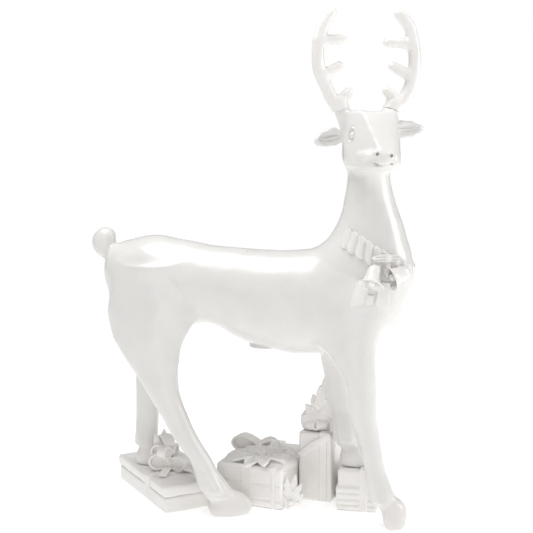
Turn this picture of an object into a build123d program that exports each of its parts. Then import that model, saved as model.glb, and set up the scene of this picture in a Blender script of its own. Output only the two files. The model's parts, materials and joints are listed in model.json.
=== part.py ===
# Light-up yard reindeer: a hollow moulded statue standing in a heap of wrapped gifts.
# Frame: +X from tail to chest, +Y the deer's left, +Z up, Z = 0 the ground. Millimetres.
from build123d import *
import math
import os

# ---- Driving sizes ----
WALL = 4.0                 # moulded shell wall
RIBBON = 4.0               # thickness of moulded ribbons and bands

# Torso: upright ovals along X as (x, centre z, half width, half height)
TORSO = [
    (-412, 590, 18, 20), (-400, 590, 45, 50), (-380, 578, 68, 78), (-340, 567, 88, 102),
    (-290, 565, 97, 114), (-220, 563, 96, 108), (-140, 563, 90, 93), (-50, 536, 97, 116),
    (50, 523, 102, 127), (140, 529, 101, 131), (220, 545, 98, 140), (290, 560, 85, 110),
    (330, 575, 65, 80), (350, 590, 40, 45), (357, 592, 14, 16),
]
# Neck: level ovals as (z, centre x, half length, half width)
NECK = [
    (540, 232, 80, 66), (580, 236, 100, 82), (620, 239, 113, 87), (660, 243, 106, 82),
    (690, 250, 90, 75), (720, 254, 76, 68), (750, 253, 66, 62), (780, 251, 58, 57),
    (810, 250, 51, 52), (845, 249, 47, 50), (885, 247, 45, 48),
]
# Legs: level ovals as (z, centre x, centre y, half length, half width)
LEGS = {
    "hind_leg_right": [
        (600, -275, -50, 68, 36), (540, -285, -56, 95, 46), (499, -277, -60, 112, 50),
        (460, -278, -66, 101, 48), (430, -280, -72, 90, 45), (408, -277, -76, 78, 42),
        (378, -270, -79, 66, 39), (340, -256, -82, 52, 35), (300, -240, -84, 41, 31),
        (242, -211, -85, 33, 27), (193, -186, -85, 30, 25), (135, -146, -85, 29, 25),
        (87, -122, -85, 30, 25), (58, -106, -84, 31, 26),
    ],
    "hind_leg_left": [
        (600, -275, 50, 68, 36), (540, -290, 54, 90, 44), (490, -305, 60, 85, 46),
        (440, -322, 68, 56, 44), (400, -331, 76, 40, 38), (340, -334, 82, 33, 31),
        (260, -336, 85, 31, 28), (200, -338, 85, 30, 27), (128, -342, 85, 29, 26),
    ],
    "front_leg_right": [
        (580, 235, -46, 66, 34), (540, 230, -54, 76, 40), (500, 220, -62, 75, 43),
        (463, 216, -67, 71, 42), (434, 218, -71, 64, 40), (404, 226, -74, 52, 38),
        (355, 242, -80, 39, 34), (315, 247, -83, 35, 30), (275, 249, -85, 33, 28),
        (218, 266, -85, 27, 25), (162, 277, -85, 25, 24), (108, 290, -85, 25, 24),
        (70, 300, -85, 24, 24),
    ],
    "front_leg_left": [
        (580, 225, 46, 60, 32), (520, 205, 52, 66, 40), (470, 185, 56, 58, 40),
        (430, 170, 60, 48, 38), (390, 162, 62, 38, 34), (330, 168, 62, 32, 29),
        (260, 178, 61, 29, 27), (200, 189, 60, 28, 26), (165, 196, 60, 28, 26),
    ],
}
# Hooves: level ovals as (z, centre x, centre y, half length, half width), turned in plan by an angle
HOOVES = {
    "hoof_hind_right": (32, [(0, -80, -62, 46, 27), (20, -84, -66, 45, 29), (58, -106, -84, 31, 26)]),
    "hoof_hind_left": (0, [(68, -326, 83, 40, 27), (90, -330, 84, 38, 28), (128, -342, 85, 29, 26)]),
    "hoof_front_right": (0, [(0, 330, -80, 18, 22), (16, 328, -80, 25, 26), (42, 316, -83, 27, 26),
                             (70, 300, -85, 24, 24)]),
    "hoof_front_left": (0, [(105, 210, 58, 34, 26), (125, 207, 59, 33, 27), (165, 196, 60, 28, 26)]),
}
HOOF_SPIGOT = 26           # how far a hoof's plug reaches up inside its leg

# Head: its own frame has x to the deer's left, y to the back of the head, z up
HEAD_CENTRE = (245, -8, 915)
HEAD_TURN = 24             # degrees from +X to the head's own x
# (forward, centre z, half width, half height)
HEAD = [
    (-66, 0, 20, 22), (-50, 0, 41, 45), (-25, 2, 55, 64), (5, 2, 62, 70), (40, -10, 60, 60),
    (75, -25, 53, 47), (105, -33, 46, 37), (125, -36, 36, 27), (136, -37, 20, 14),
]
EARS = {"ear_right": ((-53, 10), (-122, -4)), "ear_left": ((60, 26), (139, 27))}
EAR_BACK = 5

# Right antler in the head frame as (x, z) points, thinning from root to tip; the left is its mirror image
ANTLER_BACK = 12
ANTLER_BEAM = [(-64, 77), (-71, 81), (-82, 95), (-99, 127), (-114, 160), (-118, 192), (-117, 225),
               (-108, 258), (-93, 286), (-86, 294)]
ANTLER_TINES = [((-70, 88), (-44, 112)), ((-104, 152), (-68, 173)), ((-117, 233), (-59, 234))]
BEAM_RADIUS = (15, 12)
TINE_RADIUS = 11.5
PEG_RADIUS = 7
PEG_LENGTH = 34
PEG_CLEARANCE = 0.15
PEG_LEAN = 18              # degrees outward from upright
SOCKET_RADIUS = 11
FLANGE_RADIUS = 17
FLANGE_THICK = 4
SOCKET_FOOT = (59, 68)     # under side of the flange in the head frame, x and z

TAIL = [(-392, 628, 22), (-408, 640, 27), (-419, 656, 26), (-417, 669, 18), (-412, 678, 7)]

# Collar: a pleated band where a tilted slab cuts the neck
COLLAR_CENTRE = (233, 0, 673)
COLLAR_TILT = 31
COLLAR_WIDTH = 46
COLLAR_THICK = 8
BOW_AT = (301, -83, 643)
BOW_FACE = (0.45, -0.89, 0.0)

# Bells: mouth centre and direction from mouth to crown
BELL_HEIGHT = 52
BELL_MOUTH = 31
BELL_WALL = 3
BELLS = {
    "right": ((264, -118, 584), (0.17, 0.50, 0.85)),
    "left": ((309, -104, 584), (0.70, 0.42, 0.58)),
}

# Gifts: front corner, heading of the front face in degrees, length, depth, height
LOW_GIFT = ((-233, -106), 39.4, 160, 321, 68)
MID_GIFT = ((-100, 3), -11, 147, 235, 105)
TALL_GIFT = ((68, 74), -10, 88, 150, 178)
SMALL_GIFT = ((173, 8), 0, 104, 128, 105)
LID_HEIGHT = 40
LID_OVERHANG = 4
PLATE_THICK = 4
BAND = 26                  # ribbon width on the gifts

# Armature
ROD_RADIUS = 6
SPINE_RADIUS = 12
SPINE_Z = 520
BAR = (-362, 232, 100, 30, 6, 9)   # x from, x to, y centre, width, thickness, underside z

# Lamp hatches
HATCH_BORE = 36
HATCH_OUTER = 42.5
HATCH_DEPTH = 22
GROOVE_RADIUS = 40
GROOVE_FROM = 8.5
GROOVE_TO = 13.5
LUG_ANGLE = 18
ENTRY_ANGLE = 26
LOCK_TURN = 40
BELLY_HATCH_AT = (0, 0, 411)
BELLY_LAMP_AT = (0, 0, 402)   # foot of the lamp axis, from which the holder hangs under the spine
HATCH_CUT = 12             # how far the shell is cut away outside the hatch
BASE_HATCH_UP = 53
GLAND_ALONG = 25
GLAND_UP = 40
GLAND_BORE = 3.6
LEAD_RADIUS = 3
LEAD_ROOM = 1.5            # clearance round a lead where it passes a wall
SEAL_THICK = 2.5
SCREW_INSET = 12
SCREW_LENGTH = 18
BLOCK = 16                 # side of the corner blocks that take the screws
BLOCK_HEIGHT = 20

os.makedirs("parts", exist_ok=True)


def save(shape, name):
    """Write one node as its own STEP file."""
    solids = shape.solids()
    node = solids[0] if len(solids) == 1 else Compound(children=list(solids))
    export_step(node, f"parts/{name}.step")


def group(shapes):
    """Identical or twin pieces kept as separate solids in one node."""
    return Compound(children=[solid for shape in shapes for solid in shape.solids()])


def rod(start, end, radius):
    """Round bar between two points."""
    start = Vector(*start)
    axis = Vector(*end) - start
    bar = Cylinder(radius, axis.length, align=(Align.CENTER, Align.CENTER, Align.MIN))
    return Plane(origin=start, z_dir=axis) * bar


def bent_rod(points, radius):
    """Round bar through several points, rounded at its bends."""
    bar = rod(points[0], points[1], radius)
    for start, end in zip(points[1:], points[2:]):
        bar += rod(start, end, radius)
        bar += Pos(*start) * Sphere(radius)
    return bar


def oval(z, x, y, half_x, half_y, turn=0):
    return Pos(x, y, z) * Rot(0, 0, turn) * Ellipse(half_x, half_y)


def upright_oval(x, z, half_y, half_z):
    plane = Plane(origin=(x, 0, z), x_dir=(0, 1, 0), z_dir=(1, 0, 0))
    return plane * Ellipse(half_y, half_z)


def torso_loft(stations, shrink=0.0):
    return loft([upright_oval(x, z, hy - shrink, hz - shrink) for x, z, hy, hz in stations], ruled=True)


def neck_loft(grow=0.0):
    return loft([oval(z, x, 0, hx + grow, hy + grow) for z, x, hx, hy in NECK], ruled=True)


def limb_loft(stations, shrink=0.0, turn=0):
    return loft([oval(z, x, y, hx - shrink, hy - shrink, turn) for z, x, y, hx, hy in stations], ruled=True)


HEAD_FRAME = Plane(
    origin=HEAD_CENTRE,
    x_dir=(math.cos(math.radians(HEAD_TURN)), math.sin(math.radians(HEAD_TURN)), 0),
    z_dir=(0, 0, 1),
)


def head_loft(stations, shrink=0.0):
    sections = []
    for forward, z, half_width, half_height in stations:
        width = half_width - shrink
        height = half_height - shrink
        plane = Plane(origin=(0, -forward, z), x_dir=(1, 0, 0), z_dir=(0, -1, 0))
        sections.append(plane * RectangleRounded(2 * width, 2 * height, 0.6 * min(width, height)))
    return HEAD_FRAME * loft(sections, ruled=True)


# ---- Deer shells ----
torso_outer = torso_loft(TORSO)
torso_inner = torso_loft(TORSO[1:-1], WALL)
neck_outer = neck_loft()
neck_inner = neck_loft(-WALL)
neck_grown = neck_loft(COLLAR_THICK)
head_outer = head_loft(HEAD)
head_inner = head_loft(HEAD[1:-1], WALL)
leg_outers = {name: limb_loft(stations) for name, stations in LEGS.items()}
leg_inners = {name: limb_loft(stations, WALL) for name, stations in LEGS.items()}


def hatch_place(origin, inward):
    """Hatch frame: origin on the outside, z pointing into the statue."""
    return Plane(origin=origin, x_dir=(1, 0, 0), z_dir=inward)


def gift_plane(gift):
    corner, heading = gift[0], gift[1]
    turn = math.radians(heading)
    return Plane(origin=(*corner, 0), x_dir=(math.cos(turn), math.sin(turn), 0), z_dir=(0, 0, 1))


BELLY_HATCH = hatch_place(BELLY_HATCH_AT, (0, 0, 1))
BELLY_LAMP = hatch_place(BELLY_LAMP_AT, (0, 0, 1))
mid_plane = gift_plane(MID_GIFT)
BASE_HATCH = Plane(
    origin=mid_plane.from_local_coords((MID_GIFT[2] / 2 + 18, MID_GIFT[3] + 4, BASE_HATCH_UP)),
    x_dir=mid_plane.x_dir,
    z_dir=-mid_plane.y_dir,
)


def hatch_drum(depth=HATCH_DEPTH):
    return Cylinder(HATCH_OUTER, depth, align=(Align.CENTER, Align.CENTER, Align.MIN))


def antler_root(side):
    """Frame on the flange under side, z along the peg and out of the head."""
    sign = -1 if side == "right" else 1
    lean = math.radians(PEG_LEAN)
    local = Plane(
        origin=(sign * SOCKET_FOOT[0], ANTLER_BACK, SOCKET_FOOT[1]),
        x_dir=(0, 1, 0),
        z_dir=(sign * math.sin(lean), 0, math.cos(lean)),
    )
    return Plane(HEAD_FRAME.location * local.location)


def socket_envelope():
    flange = Cylinder(FLANGE_RADIUS, 12, align=(Align.CENTER, Align.CENTER, Align.MIN))
    sleeve = Pos(0, 0, -PEG_LENGTH - 3) * Cylinder(
        SOCKET_RADIUS, PEG_LENGTH + 3, align=(Align.CENTER, Align.CENTER, Align.MIN))
    return flange + sleeve


torso = torso_outer - torso_inner - neck_inner
for inner in leg_inners.values():
    torso -= inner
torso -= BELLY_HATCH * Pos(0, 0, -HATCH_CUT) * hatch_drum(HATCH_CUT + HATCH_DEPTH + SEAL_THICK)
half = 500
torso_right = torso & Pos(0, -half, 500) * Box(1200, 2 * half, 1000)
torso_left = torso & Pos(0, half, 500) * Box(1200, 2 * half, 1000)

neck = (neck_outer - neck_inner) - torso_outer - head_outer
head = head_outer - head_inner - neck_inner
for side in ("right", "left"):
    head -= antler_root(side) * socket_envelope()


# ---- Ears, tail, hooves ----
def ear(root, tip):
    """Cupped leaf along its own z, hollow side to the front."""
    run = Vector(tip[0] - root[0], 0, tip[1] - root[1])
    length = run.length
    shape = [(-0.08, 9, 6), (0.1, 13, 7), (0.35, 20, 8), (0.6, 20, 8), (0.85, 13, 6), (1.0, 3, 2.5)]
    leaf = loft([Pos(0, 0, t * length) * Ellipse(w, d) for t, w, d in shape], ruled=True)
    leaf -= Pos(0, -7.5, 0.52 * length) * scale(Sphere(1), by=(14.5, 8, 0.36 * length))
    place = Plane(origin=(root[0], EAR_BACK, root[1]), x_dir=(run.Z, 0, -run.X), z_dir=run)
    if run.X > 0:
        place = Plane(origin=place.origin, x_dir=(-run.Z, 0, run.X), z_dir=run)
        leaf = leaf.mirror(Plane.XZ)
    return HEAD_FRAME * (place * leaf) - head_outer


tail = loft([
    Plane(origin=(x, 0, z), x_dir=(0, 1, 0), z_dir=(-0.45, 0, 0.89)) * Circle(r) for x, z, r in TAIL
], ruled=True) - torso_outer


def hoof_outer(name):
    return limb_loft(HOOVES[name][1])


def hoof(name):
    """Solid hoof with a cleft at the toe and a plug that fits inside the leg."""
    turn, stations = HOOVES[name]
    end, side = name.replace("hoof_", "").split("_")
    leg_name = f"{end}_leg_{side}"
    ankle_z, ankle_x, ankle_y = LEGS[leg_name][-1][:3]
    plug = leg_inners[leg_name] & Pos(ankle_x, ankle_y, ankle_z) * Box(120, 120, 2 * HOOF_SPIGOT)
    sole_z, sole_x, sole_y, sole_half = stations[0][:4]
    cleft = Pos(sole_x, sole_y, sole_z) * Rot(0, 0, turn) * Pos(sole_half, 0, 0) * Box(24, 3, 50)
    return hoof_outer(name) + plug - cleft


# ---- Antlers ----
def right_antler():
    """Curved beam with three tines on a flat foot, and the peg below it."""
    path = Spline(*[(x, ANTLER_BACK, z) for x, z in ANTLER_BEAM])
    rings = []
    steps = 12
    for i in range(steps + 1):
        t = i / steps
        radius = BEAM_RADIUS[0] + (BEAM_RADIUS[1] - BEAM_RADIUS[0]) * t
        rings.append(Plane(origin=path @ t, x_dir=(0, 1, 0), z_dir=path % t) * Circle(radius))
    horn = loft(rings) + Pos(*(path @ 1)) * Sphere(BEAM_RADIUS[1])
    for start, end in ANTLER_TINES:
        horn += rod((start[0], ANTLER_BACK, start[1]), (end[0], ANTLER_BACK, end[1]), TINE_RADIUS)
        horn += Pos(end[0], ANTLER_BACK, end[1]) * Sphere(TINE_RADIUS)
    root = antler_root("right")
    horn = HEAD_FRAME * horn
    horn += root * Pos(0, 0, FLANGE_THICK) * Cylinder(
        BEAM_RADIUS[0] + 1, 14, align=(Align.CENTER, Align.CENTER, Align.MIN))
    below = root * Pos(0, 0, FLANGE_THICK - 60) * Box(120, 120, 120)
    horn -= below
    peg = root * Pos(0, 0, FLANGE_THICK - PEG_LENGTH) * Cylinder(
        PEG_RADIUS, PEG_LENGTH + 2, align=(Align.CENTER, Align.CENTER, Align.MIN))
    return horn + peg


def antler_socket(side):
    """Flanged sleeve in the crown, closed below."""
    flange = Cylinder(FLANGE_RADIUS, FLANGE_THICK, align=(Align.CENTER, Align.CENTER, Align.MIN))
    sleeve = Pos(0, 0, -PEG_LENGTH - 3) * Cylinder(
        SOCKET_RADIUS, PEG_LENGTH + 3, align=(Align.CENTER, Align.CENTER, Align.MIN))
    bore = Pos(0, 0, -PEG_LENGTH) * Cylinder(
        PEG_RADIUS + PEG_CLEARANCE, PEG_LENGTH + 10, align=(Align.CENTER, Align.CENTER, Align.MIN))
    return antler_root(side) * (flange + sleeve - bore)


# ---- Collar, bow, bells ----
collar_plane = Plane(
    origin=COLLAR_CENTRE,
    x_dir=(math.cos(math.radians(COLLAR_TILT)), 0, -math.sin(math.radians(COLLAR_TILT))),
    z_dir=(math.sin(math.radians(COLLAR_TILT)), 0, math.cos(math.radians(COLLAR_TILT))),
)
collar = (neck_grown - neck_outer) & collar_plane * Box(400, 300, COLLAR_WIDTH)
collar -= torso_outer

bow_plane = Plane(origin=BOW_AT, x_dir=(0.89, 0.45, 0), z_dir=BOW_FACE)


def bow_loop(sign):
    ring = Ellipse(19, 10) - Ellipse(15, 6)
    return bow_plane * Pos(sign * 27, 0, -9) * extrude(ring, 20)


def bow_knot():
    return bow_plane * Pos(0, 0, -4) * scale(Sphere(1), by=(11, 12, 13))


def ribbon_tail(lean, length):
    """Flat tail behind the bow, cut clear of the bells, neck and chest."""
    outline = Rot(0, 0, lean) * Pos(0, -length / 2 - 6) * RectangleRounded(24, length, 5)
    tail_slab = bow_plane * Pos(0, 0, -16) * extrude(outline, 16)
    tail_slab -= neck_grown
    tail_slab -= torso_outer
    tail_slab -= bow
    for bell_side in BELLS:
        tail_slab -= bell_place(bell_side) * revolve(bell_profile(True), Axis.Z)
    return max(tail_slab.solids(), key=lambda solid: solid.volume)


def bell_profile(outer):
    mouth = BELL_MOUTH if outer else BELL_MOUTH - BELL_WALL
    top = BELL_HEIGHT if outer else BELL_HEIGHT - BELL_WALL
    waist = mouth * 0.62
    flare = Spline((mouth, 0), (waist + 3, 14), (waist, 28), (waist * 0.62, top - 6), (0, top),
                   tangents=((-0.8, 0.6), (-1, 0)))
    base = Line((0, 0), (mouth, 0))
    axis = Line((0, top), (0, 0))
    return Plane.XZ * make_face(Curve() + [base, flare, axis])


def bell_place(side):
    """Frame at a bell's mouth, z towards its crown."""
    mouth, crown_way = BELLS[side]
    return Plane(origin=mouth, z_dir=crown_way)


def bell(side):
    shell = revolve(bell_profile(True), Axis.Z) - revolve(bell_profile(False), Axis.Z)
    crown = Pos(0, 0, BELL_HEIGHT - 1) * Sphere(6)
    hollow_top = revolve(bell_profile(False), Axis.Z)
    return bell_place(side) * (shell + (crown - hollow_top))


def clapper(side):
    stem_length = BELL_HEIGHT - BELL_WALL - 8
    stem = Pos(0, 0, 8) * Cylinder(2, stem_length, align=(Align.CENTER, Align.CENTER, Align.MIN))
    ball = Pos(0, 0, 8) * Sphere(8)
    inside = revolve(bell_profile(False), Axis.Z)
    reach = Pos(0, 0, -5) * Cylinder(12, 20, align=(Align.CENTER, Align.CENTER, Align.MIN))
    return bell_place(side) * ((stem + ball) & (inside + reach))


# ---- Gifts ----
def gift_block(gift, grow=0.0, low=0.0, high=None):
    length, depth, height = gift[2], gift[3], gift[4]
    top = height if high is None else high
    block = Pos(-grow, -grow, low) * Box(
        length + 2 * grow, depth + 2 * grow, top - low, align=(Align.MIN, Align.MIN, Align.MIN))
    return gift_plane(gift) * block


def gift_shell(gift, high=None):
    """Box open below; its top wall is missing when a lid covers it."""
    top = gift[4] - WALL if high is None else high + 1
    return gift_block(gift, high=high) - gift_block(gift, grow=-WALL, low=-1, high=top)


def gift_plate(gift):
    return gift_block(gift, grow=-WALL, high=PLATE_THICK)


def gift_band(gift, along, across, height_from, height_to):
    """Flat ribbon over the front face and the top."""
    length, depth = gift[2], gift[3]
    front = Pos(along - across / 2, -RIBBON, height_from) * Box(
        across, RIBBON, height_to - height_from, align=(Align.MIN, Align.MIN, Align.MIN))
    over = Pos(along - across / 2, -RIBBON, height_to) * Box(
        across, depth + RIBBON, RIBBON, align=(Align.MIN, Align.MIN, Align.MIN))
    return gift_plane(gift) * (front + over)


def gift_bow(gift, along, into, height, size, count, turn=0.0):
    """Ribbon loops standing round a knot on a gift's top."""
    bow = Pos(0, 0, 10) * scale(Sphere(1), by=(14, 14, 12))
    ring = Ellipse(size / 2, 15) - Ellipse(size / 2 - 4, 11)
    for i in range(count):
        angle = turn + i * 360 / count
        loop = Pos(size / 2 + 4, 0, 15) * Rot(90, 0, 0) * extrude(ring, 13, both=True)
        bow += Rot(0, 0, angle) * loop
    bow &= Box(400, 400, 200, align=(Align.CENTER, Align.CENTER, Align.MIN))
    return gift_plane(gift) * Pos(along, into, height) * bow


low_box = gift_shell(LOW_GIFT, high=LID_HEIGHT)
low_lid = gift_block(LOW_GIFT, grow=LID_OVERHANG, low=LID_HEIGHT)
low_lid -= gift_block(LOW_GIFT, grow=-WALL, low=LID_HEIGHT - 1, high=LOW_GIFT[4] - WALL)
mid_box = gift_shell(MID_GIFT)
tall_box = gift_shell(TALL_GIFT)
small_box = gift_shell(SMALL_GIFT)
mid_box -= BASE_HATCH * hatch_drum()

low_ribbon = gift_plane(LOW_GIFT) * Pos(112 - BAND / 2, -LID_OVERHANG - RIBBON, LID_HEIGHT) * Box(
    BAND, LOW_GIFT[3] + LID_OVERHANG + RIBBON, LOW_GIFT[4] - LID_HEIGHT + RIBBON,
    align=(Align.MIN, Align.MIN, Align.MIN))
low_ribbon -= gift_block(LOW_GIFT, grow=LID_OVERHANG, low=0)
mid_ribbon = gift_band(MID_GIFT, 52, BAND, 0, MID_GIFT[4])
tall_ribbon = gift_band(TALL_GIFT, 66, 20, 0, TALL_GIFT[4])
small_ribbon = gift_band(SMALL_GIFT, 70, 20, 0, SMALL_GIFT[4])

low_bow = gift_bow(LOW_GIFT, 70, 150, LOW_GIFT[4], 62, 4, 25)
mid_flower = gift_bow(MID_GIFT, 70, 70, MID_GIFT[4], 70, 6, 10)
tall_bow = gift_bow(TALL_GIFT, 40, 45, TALL_GIFT[4], 46, 3, 90)
low_bow -= low_ribbon
mid_flower -= mid_ribbon
tall_bow -= tall_ribbon
for outer in leg_outers.values():
    low_bow -= outer
    tall_bow -= outer
    mid_flower -= outer
low_bow -= hoof_outer("hoof_hind_left")
small_ribbon -= hoof_outer("hoof_front_left")


def leaf_spray(start, height, width):
    """Upright fan of leaves that leans on the leg behind it."""
    leaves = []
    for lean, reach in ((-24, 0.75), (-8, 1.0), (10, 0.85)):
        blade = loft([
            Pos(0, 0, 0) * Ellipse(width * 0.35, 6),
            Pos(0, 0, height * reach * 0.45) * Ellipse(width * 0.5, 6),
            Pos(0, 0, height * reach) * Ellipse(3.1, 3),
        ], ruled=True)
        leaves.append(Rot(0, lean, 0) * blade)
    spray = leaves[0] + leaves[1] + leaves[2]
    spray &= Box(400, 400, 600, align=(Align.CENTER, Align.CENTER, Align.MIN))
    return Pos(*start) * spray


tall_leaves = leaf_spray((112, 100, TALL_GIFT[4] + RIBBON), 112, 34) - tall_bow
holly = leaf_spray((62, -4, 0), 78, 26) - gift_block(MID_GIFT) - mid_ribbon
for outer in leg_outers.values():
    tall_leaves -= outer
    holly -= outer

# ---- Armature: bar in the base, rods up the legs, spine and neck tube ----
bar_from, bar_to, bar_y, bar_width, bar_thick, bar_z = BAR
base_bar = Pos((bar_from + bar_to) / 2, bar_y, bar_z + bar_thick / 2) * Box(
    bar_to - bar_from, bar_width, bar_thick)
for x, y in ((-342, 85), (198, 66)):
    base_bar += Pos(x, (y + bar_y) / 2, bar_z + bar_thick / 2) * Box(28, bar_y - y + 26, bar_thick)

HIND_X = -275
FRONT_X = 218
spine = rod((HIND_X, 0, SPINE_Z), (FRONT_X, 0, SPINE_Z), SPINE_RADIUS)
spine += rod((HIND_X, -58, SPINE_Z), (HIND_X, 58, SPINE_Z), SPINE_RADIUS - 2)
spine += rod((FRONT_X, -58, SPINE_Z), (FRONT_X, 58, SPINE_Z), SPINE_RADIUS - 2)
ROD_ROUTES = {
    "leg_rod_hind_right": [(-275, -58, SPINE_Z), (-270, -76, 400), (-238, -84, 300), (-186, -85, 193),
                           (-122, -85, 87), (-100, -80, 48)],
    "leg_rod_hind_left": [(-275, 58, SPINE_Z), (-331, 76, 400), (-336, 85, 260), (-342, 85, 140),
                          (-342, 85, bar_z + bar_thick)],
    "leg_rod_front_right": [(218, -58, SPINE_Z), (226, -74, 404), (249, -85, 275), (277, -85, 162),
                            (300, -85, 70), (306, -84, 50)],
    "leg_rod_front_left": [(218, 58, SPINE_Z), (166, 62, 400), (170, 62, 330), (198, 66, 170),
                           (198, 66, bar_z + bar_thick)],
}
leg_rods = {name: bent_rod(route, ROD_RADIUS) - spine for name, route in ROD_ROUTES.items()}
neck_tube = bent_rod([(FRONT_X, 0, SPINE_Z), (246, 0, 640), (247, 0, 868)], 9) - spine

# ---- Lamp hatches ----
def ring_sector(inner, outer, low, high, start, sweep):
    """Part of a ring between two heights, cut to an angle by half spaces."""
    ring = Pos(0, 0, low) * (
        Cylinder(outer, high - low, align=(Align.CENTER, Align.CENTER, Align.MIN))
        - Cylinder(inner, high - low, align=(Align.CENTER, Align.CENTER, Align.MIN)))
    reach = 2 * outer
    wedge = Polygon(
        (0, 0),
        (reach * math.cos(math.radians(start)), reach * math.sin(math.radians(start))),
        (reach * math.cos(math.radians(start + sweep)), reach * math.sin(math.radians(start + sweep))),
        align=None)
    return ring & Pos(0, 0, low - 1) * extrude(wedge, high - low + 2)


def hatch_ring():
    body = hatch_drum() - Pos(0, 0, -1) * Cylinder(
        HATCH_BORE, HATCH_DEPTH + 2, align=(Align.CENTER, Align.CENTER, Align.MIN))
    groove = Pos(0, 0, GROOVE_FROM) * Cylinder(
        GROOVE_RADIUS, GROOVE_TO - GROOVE_FROM, align=(Align.CENTER, Align.CENTER, Align.MIN))
    body -= groove
    for third in range(3):
        start = third * 120
        body -= ring_sector(HATCH_BORE - 1, GROOVE_RADIUS, -1, GROOVE_FROM + 1,
                            start + LOCK_TURN - ENTRY_ANGLE / 2, ENTRY_ANGLE)
        body += ring_sector(HATCH_BORE, GROOVE_RADIUS, GROOVE_FROM, GROOVE_TO,
                            start - LUG_ANGLE / 2 - 9, 8)
    return body


def hatch_cover():
    """Cap with three lugs and a finger bar."""
    cap = Pos(0, 0, 1) * Cylinder(HATCH_BORE - 0.5, 4, align=(Align.CENTER, Align.CENTER, Align.MIN))
    rim = Pos(0, 0, 5) * (
        Cylinder(HATCH_BORE - 0.5, 8, align=(Align.CENTER, Align.CENTER, Align.MIN))
        - Cylinder(HATCH_BORE - 4, 8, align=(Align.CENTER, Align.CENTER, Align.MIN)))
    bar = Pos(0, 0, -4) * Box(50, 7, 5, align=(Align.CENTER, Align.CENTER, Align.MIN))
    cover = cap + rim + bar
    for third in range(3):
        cover += ring_sector(HATCH_BORE - 2, GROOVE_RADIUS - 0.5, GROOVE_FROM + 0.7, GROOVE_TO - 0.7,
                             third * 120 - LUG_ANGLE / 2, LUG_ANGLE)
    return cover


def hatch_seal():
    """Square ring resting on top of the hatch ring's inner ledge."""
    ring = Cylinder(HATCH_OUTER, SEAL_THICK, align=(Align.CENTER, Align.CENTER, Align.MIN))
    ring -= Cylinder(HATCH_BORE, SEAL_THICK, align=(Align.CENTER, Align.CENTER, Align.MIN))
    return Pos(0, 0, HATCH_DEPTH) * ring


def lamp_holder():
    """Holder on the lamp axis, mouth towards the hatch."""
    cup = Cylinder(17, 34, align=(Align.CENTER, Align.CENTER, Align.MIN))
    cup -= Cylinder(13.2, 26, align=(Align.CENTER, Align.CENTER, Align.MIN))
    return Pos(0, 0, 71) * cup


def bulb_base():
    return Pos(0, 0, 70) * Cylinder(13, 26, align=(Align.CENTER, Align.CENTER, Align.MIN))


def bulb_globe():
    neck_cone = Pos(0, 0, 58) * Cone(18, 12, 12, align=(Align.CENTER, Align.CENTER, Align.MIN))
    return Pos(0, 0, 48) * Sphere(22) + neck_cone


# ---- Cable gland in the back of the middle gift, wiring inside ----
GLAND = Plane(
    origin=mid_plane.from_local_coords((GLAND_ALONG, MID_GIFT[3], GLAND_UP)),
    x_dir=mid_plane.x_dir,
    z_dir=mid_plane.y_dir,
)


def gland_body():
    thread = Pos(0, 0, -14) * Cylinder(8, 18, align=(Align.CENTER, Align.CENTER, Align.MIN))
    collar_hex = extrude(RegularPolygon(11, 6), 7)
    bore = Pos(0, 0, -20) * Cylinder(GLAND_BORE, 60, align=(Align.CENTER, Align.CENTER, Align.MIN))
    return thread + collar_hex - bore


def gland_cap():
    cap = Pos(0, 0, 7) * (extrude(RegularPolygon(10, 6), 8))
    cap += Pos(0, 0, 15) * Cone(9, 6, 5, align=(Align.CENTER, Align.CENTER, Align.MIN))
    return cap - Pos(0, 0, 0) * Cylinder(GLAND_BORE + 1, 60, align=(Align.CENTER, Align.CENTER, Align.MIN))


def gland_nut():
    nut = Pos(0, 0, -WALL - 5) * extrude(RegularPolygon(12, 6), 5)
    return nut - Pos(0, 0, -40) * Cylinder(8, 60, align=(Align.CENTER, Align.CENTER, Align.MIN))


mid_box -= GLAND * Pos(0, 0, -14) * Cylinder(8, 18, align=(Align.CENTER, Align.CENTER, Align.MIN))
terminal_block = mid_plane * Pos(GLAND_ALONG, 185, PLATE_THICK) * Box(
    30, 22, 20, align=(Align.CENTER, Align.CENTER, Align.MIN))

belly_bracket = BELLY_LAMP * Pos(0, 0, 105) * Box(
    26, 30, 8, align=(Align.CENTER, Align.CENTER, Align.MIN)) - spine
base_bracket = BASE_HATCH * Pos(0, PLATE_THICK - BASE_HATCH_UP, 105) * Box(
    40, BASE_HATCH_UP + 14, 3, align=(Align.CENTER, Align.MIN, Align.MIN))


def lead(points, radius=LEAD_RADIUS):
    """Round wire through hand-placed points, each bend as large as its runs allow."""
    radii = []
    vectors = [Vector(*point) for point in points]
    for before, here, after in zip(vectors, vectors[1:], vectors[2:]):
        run_in = here - before
        run_out = after - here
        turn = math.radians(run_in.get_angle(run_out))
        radii.append(0.45 * min(run_in.length, run_out.length) / math.tan(turn / 2))
    path = FilletPolyline(*vectors, radius=radii)
    print("lead length", round(path.length), "smallest bend", round(min(radii)))
    start = Plane(origin=vectors[0], z_dir=vectors[1] - vectors[0])
    return sweep(start * Circle(radius), path=path)


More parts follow.
